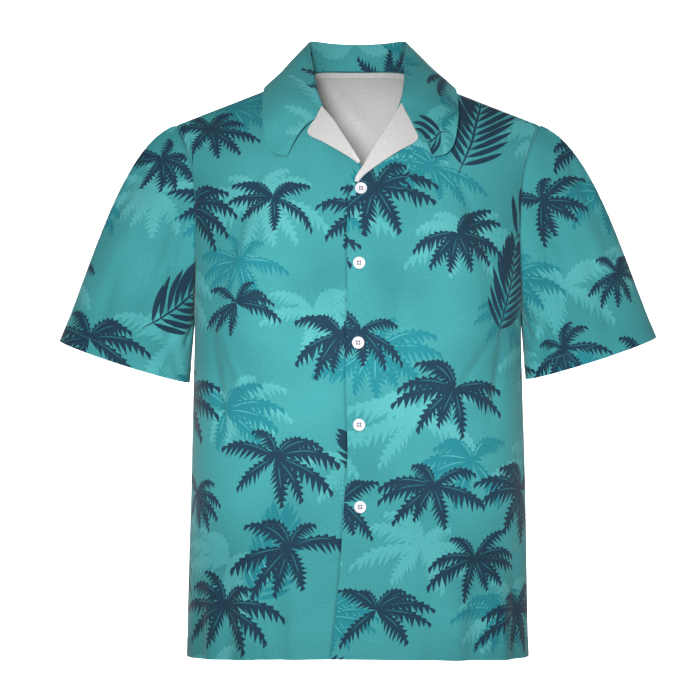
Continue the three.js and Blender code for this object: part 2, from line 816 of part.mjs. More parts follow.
function toGeometry(solid) {
  const made = solid.getMesh();
  const geometry = new THREE.BufferGeometry();
  geometry.setAttribute("position", new THREE.BufferAttribute(made.vertProperties, 3));
  geometry.setIndex(new THREE.BufferAttribute(made.triVerts, 1));
  return geometry;
}

// A round four-hole button, its back at height 0 and its face up
function buttonSolid() {
  const { radius, thick, rim, dish, hole, holeAway } = BUTTON;
  const profile = [
    new THREE.Vector2(0, 0),
    new THREE.Vector2(radius * 0.86, 0),
    new THREE.Vector2(radius, thick * 0.42),
    new THREE.Vector2(radius * 0.95, thick * 0.85),
    new THREE.Vector2(radius - rim * 0.75, thick),
    new THREE.Vector2(radius - rim * 1.6, thick - dish),
    new THREE.Vector2(0, thick - dish),
  ];
  const lathe = new THREE.LatheGeometry(profile, 24);
  lathe.rotateX(Math.PI / 2);
  let solid = toSolid(facingOut(mergedCopy(lathe)));
  for (const [x, y] of [[1, 1], [1, -1], [-1, 1], [-1, -1]]) {
    const drill = new THREE.CylinderGeometry(hole, hole, 4 * thick, 8);
    drill.rotateX(Math.PI / 2);
    drill.translate(x * holeAway, y * holeAway, 0);
    solid = solid.subtract(toSolid(drill));
  }
  return toGeometry(solid);
}

function buttonAt({ x, z }, name) {
  const { point, normal } = bodyPoint(FRONT, x, z, LAP_LIFT);
  point.y -= SEAM;
  const made = mesh(name, buttonSolid(), buttonResin);
  made.quaternion.setFromUnitVectors(new THREE.Vector3(0, 0, 1), normal);
  made.position.copy(point).addScaledVector(normal, SEAM * 1.2);
  return made;
}

// Assembly

const shirt = new THREE.Group();
shirt.name = "shirt";

const back = backPanel();
const fronts = { [LEFT]: frontPanel(LEFT), [RIGHT]: frontPanel(RIGHT) };
shirt.add(mesh("back", wallSolid(back.outer, back.inner), printedCloth));
shirt.add(mesh("front_left", wallSolid(fronts[LEFT].outer, fronts[LEFT].inner), printedCloth));
shirt.add(mesh("front_right", wallSolid(fronts[RIGHT].outer, fronts[RIGHT].inner), printedCloth));

// The part of a panel's side column that runs round the armhole
function armholeEdge(panel, column) {
  const outer = panel.outer[column].slice(ROWS_BELOW);
  const inner = panel.inner[column].slice(ROWS_BELOW);
  return outer.map((point, i) => ({ outer: point, inner: inner[i] }));
}

for (const [hand, name] of [[LEFT, "sleeve_left"], [RIGHT, "sleeve_right"]]) {
  const front = armholeEdge(fronts[hand], fronts[hand].outer.length - 1);
  const rear = armholeEdge(back, hand === LEFT ? back.outer.length - 1 : 0);
  shirt.add(mesh(name, sleeve(hand, front, rear), printedCloth));
}

shirt.add(mesh("collar", collar(), printedCloth));
shirt.add(mesh("lapel_left", lapel(LEFT), plainCloth));
shirt.add(mesh("lapel_right", lapel(RIGHT), plainCloth));
BUTTONS.forEach((place, i) => shirt.add(buttonAt(place, `button_${i + 1}`)));

export default shirt;
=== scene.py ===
# Looks of a short-sleeve shirt with an open camp collar, filled out with nobody in it.
#
# The cloth pieces are thin closed shells on the same form as the solids that they replace.
# The form is worked out in millimetres, in the frame of the solids, and turned into metres
# where the meshes are made. The print is part of each shell's mesh: leaf outlines are cut into
# the outer faces, which take the material of the ink that covers them.

import math
import random

import bpy
import numpy as np
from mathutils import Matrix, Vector
from mathutils.geometry import delaunay_2d_cdt


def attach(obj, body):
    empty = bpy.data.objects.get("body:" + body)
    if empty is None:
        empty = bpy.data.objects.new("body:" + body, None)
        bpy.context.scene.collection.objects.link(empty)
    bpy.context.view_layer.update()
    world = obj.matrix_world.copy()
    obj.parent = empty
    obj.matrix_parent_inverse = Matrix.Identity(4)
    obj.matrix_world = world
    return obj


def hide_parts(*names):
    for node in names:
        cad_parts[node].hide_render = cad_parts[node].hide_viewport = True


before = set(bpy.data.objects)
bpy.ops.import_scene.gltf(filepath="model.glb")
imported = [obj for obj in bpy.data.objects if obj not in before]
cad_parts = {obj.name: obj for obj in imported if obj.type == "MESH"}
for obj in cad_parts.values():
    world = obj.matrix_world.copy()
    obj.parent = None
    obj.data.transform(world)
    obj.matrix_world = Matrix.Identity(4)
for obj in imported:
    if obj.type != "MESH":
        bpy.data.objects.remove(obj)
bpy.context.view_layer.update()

# Millimetres in metres, and the sides of the body
MM = 0.001
FRONT = -1
BACK = 1
LEFT = 1
RIGHT = -1
HANDS = {LEFT: "left", RIGHT: "right"}

# Thicknesses of the cloth, and its hems and bound edges, in millimetres like all that follow
CLOTH = 0.8
COLLAR_CLOTH = 1.3
LAPEL_CLOTH = 0.9
TAPE_CLOTH = 0.6
HEM_DEPTH = 20.0
HEM_RAISE = 0.4
EDGE_RAISE = 0.35
PLACKET_EDGE = 28.0

# Seams: the cloth dips along them, and one edge is slipped (tucked) under the other piece
SEAM_GAP = 0.2
SEAM_DEPTH = 1.1
SEAM_ROLL = 2.2
TUCK = 1.8
TUCK_DEPTH = 1.4
TUCK_ROLL = 1.6
CREASE_GAIN = 1.6

# Cutting: the print's outlines are split to DENSE_STEP within DENSE_REACH of a sheet's border,
# and places may be looked for a little past a sheet's ends
DENSE_REACH = 7.0
EVERYWHERE = 1000.0
DENSE_STEP = 1.4
PAST = (-0.25, 1.25)
FIND_AT_ONCE = 1500

# Rough lengths of the sheets, and where their parts meet on the way up (b)
PANEL_WIDTH = 345.0
PANEL_LENGTH = 700.0
ARMPIT_B = 0.62
SLEEVE_ROUND = 430.0
SLEEVE_TOP = 290.0
SLEEVE_UNDER = 90.0
SLEEVE_AXIS = (0.405, -0.914)
ROLL_B = 0.62
FOLD_B = 0.86
FOLD_RADIUS = 1.5
TAPE_HALF = 62.0
TAPE_WIDTH = 5.0
COLLAR_SIGN = -1.0
BUTTON_LIFT = 0.5
STITCH_PITCH = 3.2
STITCH_RADIUS = 0.24

# Camera, in metres
CAMERA_DISTANCE = 3.0
CAMERA_FIELD = 0.889
CAMERA_X = -0.010
CAMERA_Z = -0.347

# Heights and places across the body
HEM_FRONT_Z = -724.0
HEM_SIDE_Z = -733.0
ARMPIT_Z = -305.0
NECK_HALF = 70.0
NECK_Z = 2.0
SHOULDER_SLOPE = 0.392
SHOULDER_TIP_X = 231.0
ROUNDNESS = 2.3

# Torso sections: height, half the width, depth to the front, depth to the back
TORSO = (
    (-740, 217, 124, 113),
    (-600, 214, 125, 112),
    (-480, 210.5, 125, 111),
    (-380, 207.5, 125, 111),
    (-305, 207, 125, 112),
    (-250, 214, 124.5, 112),
    (-190, 225, 123.5, 112),
    (-130, 236, 122, 112),
    (-80, 249, 121, 111),
    (-40, 261, 120, 110),
    (0, 274, 119, 110),
    (60, 292, 118, 110),
)
UPPER = {
    FRONT: dict(column=2, reach=232.0, neck_rise=22.0, bend=1.6, power=0.8),
    BACK: dict(column=3, reach=160.0, neck_rise=36.0, bend=2.0, power=0.5),
}
# Armhole seam: height, distance from the middle
ARMHOLE = ((-305, 207), (-250, 204.5), (-190, 203.5), (-130, 208), (-95, 217), (-62.4, 231))

# Free edges of the fronts: height, distance from the middle towards the piece's own side
FRONT_EDGE = {
    LEFT: (
        (-735, -35), (-665, -27), (-600, -21.5), (-529, -17), (-470, -13),
        (-383, -15.5), (-280, -13.5), (-164, -12.5), (-146, -4),
    ),
    RIGHT: ((-735, 0), (-600, -8), (-400, -14), (-140, -15)),
}
# Top edges of the fronts up to the shoulder neck point: distance from the middle, height
NECKLINE = {
    LEFT: (
        (-4, -146), (0, -133), (8.6, -119), (22.2, -94), (39.8, -66),
        (48, -54), (57, -39), (65, -18), (70, 2),
    ),
    RIGHT: (
        (-15, -141), (-4.3, -121), (7.4, -100), (22.3, -77), (31, -65),
        (41, -56), (52, -41), (62, -19), (70, 2),
    ),
}
BACK_NECK = ((0, 12.5), (35, 11.5), (55, 8.5), (70, 2))

# Main folds of the body: side, place, top, bottom, lean, width, depth (valleys are negative)
BODY_FOLDS = (
    (FRONT, -168, -560, -760, 10, 15, -5),
    (FRONT, -140, -590, -770, -6, 13, 4),
    (FRONT, -112, -520, -760, 14, 17, -4),
    (FRONT, 150, -540, -770, -8, 17, -5),
    (FRONT, 118, -600, -770, 6, 14, 3.5),
    (FRONT, -60, -330, -700, 22, 24, -3),
    (FRONT, 74, -300, -640, -18, 26, -3),
    (FRONT, -150, -150, -330, -34, 17, -4),
    (FRONT, 152, -160, -330, 30, 17, -4),
    (BACK, -150, -520, -770, 12, 17, -6),
    (BACK, -96, -430, -770, -10, 20, 4),
    (BACK, -40, -480, -770, 10, 19, -5),
    (BACK, 28, -400, -770, -8, 22, 4),
    (BACK, 88, -500, -770, 12, 18, -6),
    (BACK, 152, -560, -770, -8, 16, -4),
    (BACK, -140, -140, -340, -30, 18, -5),
    (BACK, 138, -150, -350, 32, 18, -5),
)
# Finer creases, which only the cloth shells have: the same columns
BODY_CREASES = (
    (FRONT, -186, -300, -470, 24, 7, -2.4),
    (FRONT, -172, -315, -420, 40, 6, 1.6),
    (FRONT, 184, -305, -450, -22, 7, -2.2),
    (FRONT, 168, -330, -400, -46, 6, -1.6),
    (FRONT, -120, -640, -790, -4, 7, -2.2),
    (FRONT, -84, -600, -790, 8, 9, 1.8),
    (FRONT, -196, -600, -790, -3, 8, -2.6),
    (FRONT, 176, -610, -790, 6, 7, 2.2),
    (FRONT, 196, -560, -790, 2, 7, -2.4),
    (FRONT, 92, -640, -790, -6, 9, -1.8),
    (FRONT, 40, -200, -420, 26, 13, -1.6),
    (FRONT, -52, -190, -360, -20, 12, -1.5),
    (FRONT, 120, -120, -240, 46, 9, -1.6),
    (FRONT, -118, -110, -250, -44, 9, -1.6),
    (FRONT, 60, -480, -660, 12, 12, 1.6),
    (BACK, -184, -310, -480, 26, 8, -2.8),
    (BACK, 186, -310, -460, -26, 8, -2.8),
    (BACK, -66, -90, -330, -16, 14, -2),
    (BACK, 58, -90, -350, 14, 15, -2),
    (BACK, 8, -600, -790, 8, 9, -2.2),
    (BACK, -120, -620, -790, 6, 8, 2.2),
    (BACK, 118, -600, -790, -8, 8, 2),
    (BACK, 60, -560, -790, 4, 8, 2),
    (BACK, -30, 0, -70, 46, 10, 2),
    (BACK, 34, -20, -90, -20, 12, -1.4),
)

CUFF = dict(x=295.5, y=-4.0, out_x=82.5, out_z=26.5, depth=50.0, dip=4.0)
CUFF_Z = {LEFT: -357.0, RIGHT: -361.5}
SLEEVE_FLOW = dict(
    top_start=(203, -74), top_end=(121, -285), under_start=(6, -88), under_end=(8, -86)
)
SLEEVE_GAP = 0.3
# Main folds of a sleeve: around (0 top, 90 front, 180 under), along, lean, width, length, depth
SLEEVE_FOLDS = (
    (118, 0.3, -40, 11, 0.24, -7),
    (76, 0.3, 12, 9, 0.2, -4),
    (52, 0.5, -10, 11, 0.24, 3.5),
    (140, 0.8, 24, 12, 0.2, -4),
    (244, 0.32, 40, 12, 0.24, -7),
    (290, 0.45, -14, 11, 0.26, 4),
    (216, 0.8, -20, 12, 0.2, -4),
)
SLEEVE_CREASES = {
    LEFT: (
        (98, 0.42, 30, 5, 0.16, -2.2),
        (132, 0.5, -26, 6, 0.18, -2.6),
        (64, 0.72, 16, 6, 0.2, -1.8),
        (30, 0.35, 8, 7, 0.2, -1.6),
        (152, 0.35, -20, 5, 0.2, -2.4),
        (228, 0.5, 24, 6, 0.18, -2.6),
        (262, 0.6, -18, 6, 0.2, 2),
        (312, 0.4, 10, 8, 0.24, -1.8),
        (340, 0.7, -8, 7, 0.2, 1.4),
    ),
    RIGHT: (
        (104, 0.4, 34, 5, 0.2, -2.6),
        (84, 0.55, 6, 6, 0.22, -2.4),
        (126, 0.62, -20, 6, 0.18, -2.2),
        (58, 0.78, 12, 6, 0.18, -1.8),
        (26, 0.4, -8, 7, 0.22, -1.5),
        (156, 0.4, -18, 5, 0.2, -2.4),
        (222, 0.46, 22, 6, 0.2, -2.6),
        (268, 0.56, -16, 6, 0.2, 2),
        (306, 0.46, 12, 8, 0.22, -1.8),
    ),
}

# Collar stations: roll line (x, y, z), its shift on the right side, leaf's outer edge
COLLAR_STATIONS = (
    (None, 0, (92, -80, -109)),
    (None, 0, (109, -77, -104)),
    (None, 0, (119, -70, -91)),
    ((57.5, -45, -26), -6, (124, -58, -68)),
    ((60.5, -25, -7), -5, (126, -36, -45)),
    ((61.5, -3, 14), -2, (124, 0.5, -16)),
    ((63.5, 20, 38), 0, (118, 25, -18)),
    ((60.5, 42, 49.5), 0, (99, 62, -14)),
    ((36, 58, 49), 0, (60, 86, -16)),
    ((0, 64, 48), 0, (0, 94, -18)),
)
SHOULDER_STATION = 5
GORGE_STATIONS = 2
GORGE = {
    LEFT: ((68.6, -72.2), (61.8, -56.5), (54.2, -40)),
    RIGHT: ((51.8, -59.6), (49.4, -52.5), (45.8, -43.5)),
}
BACK_STATIONS = ((70, 2), (66, 4.4), (55, 8.5), (35, 11.5), (0, 12.5))
LEAF_SPREAD = {LEFT: 1.0, RIGHT: 0.95}
ROLL_RADIUS = 2.2
FALL_STEPS = 6
FINER = 3
LEAF_CLEAR = 3.2
LEAF_BULGE = 8.0
NECK_GAP = 0.9

# Lapels: roll line and free outer edge, top to bottom
LAPELS = {
    LEFT: (
        ((54.6, -39.5), (39.8, -65.5), (22.2, -93.5), (8.6, -118.5), (0, -132), (-3.4, -141)),
        ((69, -70), (73, -87), (50, -103), (27, -119), (8, -133), (0, -142.5)),
    ),
    RIGHT: (
        ((-45.6, -44), (-31, -62.5), (-22.3, -76.5), (-13, -91), (-4, -106), (2, -116.5)),
        ((-52.6, -59), (-62, -78.5), (-42, -92), (-23, -103.5), (-8, -112.5), (0, -118.8)),
    ),
}
LAPEL_LIFT = 1.8
LAPEL_TIP_LIFT = 2.2

LAP_LIFT = 1.0
LAP_FLAT = 24.0
LAP_REACH = 60.0
PRESS_DEPTH = 2.5
PRESS_TOP_Z = -150.0
PRESS_LINES = ((0.1, 0.8), (1.7, 3.4))

BUTTONS = ((3.4, -150), (1.2, -241), (0, -338), (1.2, -438), (2.4, -538))
BUTTON = dict(radius=7.4, thick=2.6, rim=1.3, dish=0.7, hole=0.85, away=1.75)


# Smooth functions of tables and places

def sample(xs, ys, at):
    """A smooth curve through the points of a table."""
    xs = np.asarray(xs, float)
    ys = np.asarray(ys, float)
    if xs[-1] < xs[0]:
        xs, ys = xs[::-1], ys[::-1]
    at = np.clip(np.asarray(at, float), xs[0], xs[-1])
    i = np.clip(np.searchsorted(xs, at, side="right") - 1, 0, len(xs) - 2)
    before = np.maximum(i - 1, 0)
    after = np.minimum(i + 2, len(xs) - 1)
    span = xs[i + 1] - xs[i]
    slope_a = (ys[i + 1] - ys[before]) / (xs[i + 1] - xs[before])
    slope_b = (ys[after] - ys[i]) / (xs[after] - xs[i])
    t = (at - xs[i]) / span
    t2 = t * t
    t3 = t2 * t
    return (
        (2 * t3 - 3 * t2 + 1) * ys[i]
        + (t3 - 2 * t2 + t) * span * slope_a
        + (3 * t2 - 2 * t3) * ys[i + 1]
        + (t3 - t2) * span * slope_b
    )


def column(table, key, at, value):
    return sample([row[key] for row in table], [row[value] for row in table], at)


def smooth(t):
    t = np.clip(t, 0.0, 1.0)
    return t * t * (3 - 2 * t)


def unit(v):
    return v / np.maximum(np.linalg.norm(v, axis=-1, keepdims=True), 1e-9)


def ridge(side, x):
    """Height of the shoulder line above a place across the body."""
    out = np.abs(x)
    slope = NECK_Z - SHOULDER_SLOPE * (out - NECK_HALF)
    neck = NECK_Z + UPPER[side]["neck_rise"] * (1 - (out / NECK_HALF) ** 2)
    return np.where(out >= NECK_HALF, slope, neck)


def depth(side, x, z):
    """Depth of the smooth body in front of, or behind, the plane of the side seams."""
    form = UPPER[side]
    half = column(TORSO, 0, z, 1)
    full = column(TORSO, 0, z, form["column"])
    across = np.minimum(1.0, np.abs(x) / half)
    rounded = (1 - across**ROUNDNESS) ** (1 / ROUNDNESS)
    below = np.clip((ridge(side, x) - z) / form["reach"], 0, 1)
    return full * rounded * (1 - (1 - below) ** form["bend"]) ** form["power"]


def body_normal(side, x, z):
    step = 0.6
    along_x = (depth(side, x + step, z) - depth(side, x - step, z)) / (2 * step)
    along_z = (depth(side, x, z + step) - depth(side, x, z - step)) / (2 * step)
    return unit(np.stack([-along_x, np.full_like(along_x, side), -along_z], -1))


def fold_height(folds, side, x, z):
    total = np.zeros_like(x)
    for fold_side, place, top, bottom, lean, width, height in folds:
        if fold_side != side:
            continue
        along = (top - z) / (top - bottom)
        line = place + lean * along
        inside = np.clip(along, 0, 1)
        ends = smooth(inside * 1.8) if bottom < HEM_SIDE_Z else np.sin(math.pi * inside)
        total += height * ends * np.exp(-(((x - line) / width) ** 2)) * (along > 0)
    return total


def ripple(x, z, turn):
    """Soft unevenness of hanging cloth, under a millimetre high."""
    return (
        0.45 * np.sin(x / 31 + 1.3 * np.sin(z / 83 + turn) + turn)
        + 0.3 * np.sin(x / 17.3 - z / 140 + 2.1 * turn)
        + 0.25 * np.sin(z / 57 + 1.7 * np.sin(x / 46) + 3.1 * turn)
    )


def body_surface(side, x, z, lift=0.0):
    """Points and outward directions of the body's outer face."""
    normal = body_normal(side, x, z)
    creases = CREASE_GAIN * fold_height(BODY_CREASES, side, x, z)
    height = fold_height(BODY_FOLDS, side, x, z) + creases
    height = height + ripple(x, z, 1.0 + side) * smooth((-z - 60) / 120)
    point = np.stack([x, side * depth(side, x, z), np.asarray(z, float) + 0 * x], -1)
    return point + normal * (lift + height)[..., None], normal


def edge_at(z):
    return np.where(z < ARMPIT_Z, column(TORSO, 0, z, 1), column(ARMHOLE, 0, z, 1))


TIP_Z = float(ridge(FRONT, np.array(SHOULDER_TIP_X)))


def height_at(x, y):
    """Height of the body's top above places seen from above."""
    side_front = y < 0
    low = np.full_like(x, ARMPIT_Z)
    high = np.where(side_front, ridge(FRONT, x), ridge(BACK, x))
    for _ in range(20):
        middle = (low + high) / 2
        deep = np.where(side_front, depth(FRONT, x, middle), depth(BACK, x, middle))
        inside = deep > np.abs(y)
        low = np.where(inside, middle, low)
        high = np.where(inside, high, middle)
    return low


def keep_clear(p, clear):
    """Pushes points out until they stand clear of the body."""
    p = np.array(p, float)
    step = 2.0
    for _ in range(3):
        x, y, z = p[..., 0], p[..., 1], p[..., 2]
        top = height_at(x, y)
        slope_x = (height_at(x + step, y) - height_at(x - step, y)) / (2 * step)
        slope_y = (height_at(x, y + step) - height_at(x, y - step)) / (2 * step)
        flat = np.stack([-slope_x, -slope_y, np.ones_like(x)], -1)
        gap_flat = (z - top) / np.linalg.norm(flat, axis=-1)
        front = (y < 0)[..., None]
        steep = np.where(front, body_normal(FRONT, x, z), body_normal(BACK, x, z))
        deep = np.where(y < 0, depth(FRONT, x, z), depth(BACK, x, z))
        gap_steep = (np.abs(y) - deep) * np.abs(steep[..., 1])
        use_flat = np.hypot(slope_x, slope_y) < 1.2
        gap = np.where(use_flat, gap_flat, gap_steep)
        normal = np.where(use_flat[..., None], unit(flat), steep)
        p = p + normal * np.maximum(0, clear - gap)[..., None]
    return p


# Each cloth piece is a sheet: places (a, b) from 0 to 1 each way, and a function that gives
# the point and the outward direction at each of them

def panel_places(side, hand, top_table, edge_table):
    """Turns places of a front, or of half the back, into places across and up the body."""

    def middle_of(z):
        if edge_table is None:
            return np.zeros_like(z)
        return column(edge_table, 0, z, 1)

    def top_at(x):
        on_neck = column(top_table, 0, x, 1)
        return np.where(np.abs(x) >= NECK_HALF, ridge(side, x), on_neck)

    hem = HEM_FRONT_Z if side == FRONT else HEM_SIDE_Z
    across_table = np.sin(np.linspace(0, math.pi / 2, 900))
    low = np.full_like(across_table, ARMPIT_Z)
    high = np.full_like(across_table, 60.0)
    for _ in range(40):
        z = (low + high) / 2
        x = middle_of(z) + across_table * (edge_at(z) - middle_of(z))
        under = top_at(x) > z
        low = np.where(under, z, low)
        high = np.where(under, high, z)
    top_table_z = (low + high) / 2
    top_table_z[-1] = TIP_Z

    def places(a, b):
        across = np.sin(a * math.pi / 2)
        top = np.interp(across, across_table, top_table_z)
        own_hem = hem + (HEM_SIDE_Z - hem) * across**2
        below = own_hem + (ARMPIT_Z - own_hem) * np.clip(b / ARMPIT_B, 0, 1)
        rise = np.clip((b - ARMPIT_B) / (1 - ARMPIT_B), 0, 1)
        z = np.where(b <= ARMPIT_B, below, ARMPIT_Z + (top - ARMPIT_Z) * rise)
        middle = middle_of(z)
        return hand * (middle + across * (edge_at(z) - middle)), z

    return places


def seam_dip(distance):
    """Cloth rolls inwards for a few millimetres where it is sewn to the next piece."""
    return -SEAM_DEPTH * np.exp(-((distance / SEAM_ROLL) ** 2))


def tuck(distance):
    """How far an edge has slipped under the piece that it is sewn to, from 0 to 1."""
    return np.exp(-((distance / TUCK_ROLL) ** 2))


def edge_distance(side, x, z):
    """How far a place on the body lies from the side seam or the armhole seam."""
    edge = edge_at(z)
    return np.hypot(edge - np.abs(x), depth(side, x, z) - depth(side, edge, z))


def press(x, z):
    """The under front is pressed in along the closing edge of the front that laps over it."""
    past = column(FRONT_EDGE[LEFT], 0, z, 1) - x
    fade = np.where(past > 0, past / 1.9, -past / 6)
    return -PRESS_DEPTH * np.exp(-fade) * smooth((PRESS_TOP_Z - z) / 12)


def shoulder_share(x):
    """1 on the shoulder seam, 0 at the neck."""
    return smooth((np.abs(x) - NECK_HALF + 6) / 8)


def lap_share(x):
    """1 where the fronts lap over each other, 0 further out."""
    return 1 - smooth((np.abs(x) - LAP_FLAT) / LAP_REACH)


FORWARD = np.array([0, FRONT * SEAM_GAP, 0])


def front_sheet(hand):
    places = panel_places(FRONT, hand, NECKLINE[hand], FRONT_EDGE[hand])
    amount = LAP_LIFT if hand == LEFT else -LAP_LIFT

    def surface(a, b):
        x, z = places(a, b)
        lift = amount * lap_share(x)
        lift = lift + seam_dip(edge_distance(FRONT, x, z))
        lift = lift + seam_dip((1 - b) * PANEL_LENGTH) * shoulder_share(x)
        if hand == LEFT:
            bound = 1 - smooth((a * PANEL_WIDTH - PLACKET_EDGE) / 2)
            lift = lift + EDGE_RAISE * bound - 0.6 * np.exp(-(a * PANEL_WIDTH) ** 2)
        else:
            lift = lift + press(x, z)
        point, normal = body_surface(FRONT, x, z, lift)
        return point + FORWARD, normal

    return surface


def back_sheet():
    half = {hand: panel_places(BACK, hand, BACK_NECK, None) for hand in (LEFT, RIGHT)}

    def surface(a, b):
        out = 2 * a - 1
        x_left, z_left = half[LEFT](np.clip(out, 0, 1), b)
        x_right, z_right = half[RIGHT](np.clip(-out, 0, 1), b)
        x = np.where(out >= 0, x_left, x_right)
        z = np.where(out >= 0, z_left, z_right)
        side_gap, shoulder_gap = edge_distance(BACK, x, z), (1 - b) * PANEL_LENGTH
        on_shoulder = shoulder_share(x)
        lift = seam_dip(side_gap) + seam_dip(shoulder_gap) * on_shoulder
        under = np.maximum(tuck(side_gap) * smooth((ARMPIT_Z - z) / 8),
                           tuck(shoulder_gap) * on_shoulder)
        point, normal = body_surface(BACK, x, z, lift - TUCK_DEPTH * under)
        point[..., 1] += BACK * SEAM_GAP + FRONT * TUCK * under
        return point, normal

    return surface


def armhole_point(turn):
    """A point of the armhole seam of the wearer's left side: 0 top, 90 front, 180 under."""
    radians = np.radians(turn)
    z = (TIP_Z + ARMPIT_Z) / 2 + (TIP_Z - ARMPIT_Z) / 2 * np.cos(radians)
    x = column(ARMHOLE, 0, z, 1)
    y = np.where(np.sin(radians) >= 0, -depth(FRONT, x, z), depth(BACK, x, z))
    return np.stack([x + SLEEVE_GAP, y, z], -1)


def sleeve_sheet(hand):
    """A sleeve, from under the arm in front (a = 0) to behind, and from armhole to cuff."""

    def smooth_surface(turn, along):
        start = armhole_point(turn)
        radians = np.radians(turn)
        top = (1 + np.cos(radians)) / 2
        front = np.sin(radians)
        x = CUFF["x"] + CUFF["out_x"] * np.cos(radians)
        y = CUFF["y"] - CUFF["depth"] * front
        z = CUFF_Z[hand] + CUFF["out_z"] * np.cos(radians) - CUFF["dip"] * np.abs(front)
        cuff = np.stack([x, y, z], -1)

        def flow(under, over):
            x = under[0] + (over[0] - under[0]) * top
            z = under[1] + (over[1] - under[1]) * top
            return np.stack([x, np.zeros_like(x), z], -1)

        leave = flow(SLEEVE_FLOW["under_start"], SLEEVE_FLOW["top_start"])
        arrive = flow(SLEEVE_FLOW["under_end"], SLEEVE_FLOW["top_end"])
        t2 = along**2
        t3 = along**3
        return (
            start * (2 * t3 - 3 * t2 + 1)[..., None]
            + leave * (t3 - 2 * t2 + along)[..., None]
            + cuff * (3 * t2 - 2 * t3)[..., None]
            + arrive * (t3 - t2)[..., None]
        )

    def height_of(turn, along):
        around = np.mod(turn, 360.0)
        total = np.zeros_like(along)
        for gain, folds in ((1.0, SLEEVE_FOLDS), (CREASE_GAIN, SLEEVE_CREASES[hand])):
            for place, at, lean, width, length, high in folds:
                off = around - place - lean * (along - at) * 2
                up = (along - at) / length
                total += gain * high * np.exp(-((off / width) ** 2) - up * up)
        total += 0.6 * ripple(60 * np.sin(np.radians(around)), along * 300, 2.0 * hand)
        return total * smooth(along / 0.12)

    def surface(a, b):
        turn = 180.0 - 360.0 * a
        along = 1.0 - b
        step = 0.01
        inside = np.clip(along, step, 1 - step)
        point = smooth_surface(turn, along)
        down = smooth_surface(turn, inside + step) - smooth_surface(turn, inside - step)
        round_it = smooth_surface(turn + 1.0, along) - smooth_surface(turn - 1.0, along)
        normal = unit(np.cross(round_it, down))
        top = (1 + np.cos(np.radians(turn))) / 2
        length = SLEEVE_UNDER + (SLEEVE_TOP - SLEEVE_UNDER) * top
        under = tuck(along * length)
        lift = height_of(turn, along) + seam_dip(along * length) - TUCK_DEPTH * under
        lift = lift + seam_dip(np.minimum(a, 1 - a) * SLEEVE_ROUND)
        point = point + normal * lift[..., None]
        point[..., 0] -= TUCK * under
        mirror = np.array([hand, 1.0, 1.0])
        return point * mirror, normal * mirror

    return surface


def net_surface(net, sign):
    """A smooth surface through a net of points, with its outward directions."""

    def point_at(i, j):
        rows, columns = net.shape[:2]
        i = np.clip(i, 0, rows - 1)
        j = np.clip(j, 0, columns - 1)
        i0 = np.clip(np.floor(i).astype(int), 0, rows - 2)
        j0 = np.clip(np.floor(j).astype(int), 0, columns - 2)
        weights = [curve_weights(i - i0), curve_weights(j - j0)]
        total = 0
        for p in range(4):
            for q in range(4):
                at = mirrored(net, i0 + p - 1, j0 + q - 1)
                total = total + at * (weights[0][p] * weights[1][q])[..., None]
        return total

    def surface(i, j):
        point = point_at(i, j)
        step = 0.02
        along_i = point_at(i + step, j) - point_at(i - step, j)
        along_j = point_at(i, j + step) - point_at(i, j - step)
        normal = sign * unit(np.cross(along_i, along_j))
        return point, normal

    return surface


def curve_weights(t):
    return [
        (-t + 2 * t**2 - t**3) / 2,
        (2 - 5 * t**2 + 3 * t**3) / 2,
        (t + 4 * t**2 - 3 * t**3) / 2,
        (-(t**2) + t**3) / 2,
    ]


def mirrored(net, i, j):
    """A point of a net, carried on in a straight line past its edges."""
    rows, columns = net.shape[:2]
    i_in, j_in = np.clip(i, 0, rows - 1), np.clip(j, 0, columns - 1)
    i_back, j_back = np.clip(2 * i_in - i, 0, rows - 1), np.clip(2 * j_in - j, 0, columns - 1)
    return 2 * net[i_in, j_in] - net[i_back, j_back]


def neck_seam(index, hand):
    front = NECKLINE[hand]
    past = index - SHOULDER_STATION
    side = FRONT if past < 0 else BACK
    x, z = front[len(front) - 1 + past] if past < 0 else BACK_STATIONS[past]
    if past < 0:
        x -= NECK_GAP
    x = np.array([hand * float(x)])
    z = np.array([float(z)])
    point = np.stack([x, side * depth(side, x, z), z], -1)
    point = point - body_normal(side, x, z) * CLOTH
    point[..., 2] = z + NECK_GAP
    return point[0]


def collar_station(index, hand):
    """Points down one station of the collar: neck seam, roll line, leaf's outer edge."""
    roll, shift, leaf = COLLAR_STATIONS[index]
    leaf = np.array(leaf, float)
    leaf[0] *= hand * LEAF_SPREAD[hand]
    leaf = keep_clear(leaf[None], LEAF_CLEAR)[0]
    if index <= GORGE_STATIONS:
        x, z = (np.array([float(v)]) for v in GORGE[hand][index])
        x = hand * x
        point = np.stack([x, -depth(FRONT, x, z), z], -1)
        start = (point + body_normal(FRONT, x, z) * LEAF_CLEAR)[0]
    else:
        start = np.array(roll, float)
        if hand == RIGHT:
            start[0] = -start[0] - shift
    neck = neck_seam(max(index, GORGE_STATIONS), hand)
    out = leaf - start
    out[2] = 0
    out = unit(out)
    low = np.array([0, 0, -ROLL_RADIUS])
    first = start - out * ROLL_RADIUS + low
    points = [neck, (neck + first) / 2, first, start]
    if index < GORGE_STATIONS:
        points = [start + (p - start) * 0.02 * (3 - k) for k, p in enumerate(points)]
    after = start + out * ROLL_RADIUS + low
    for i in range(FALL_STEPS + 1):
        t = i / FALL_STEPS
        p = after + (leaf - after) * t
        p[2] += LEAF_BULGE * math.sin(math.pi * t)
        points.append(keep_clear(p[None], LEAF_CLEAR)[0])
    return points


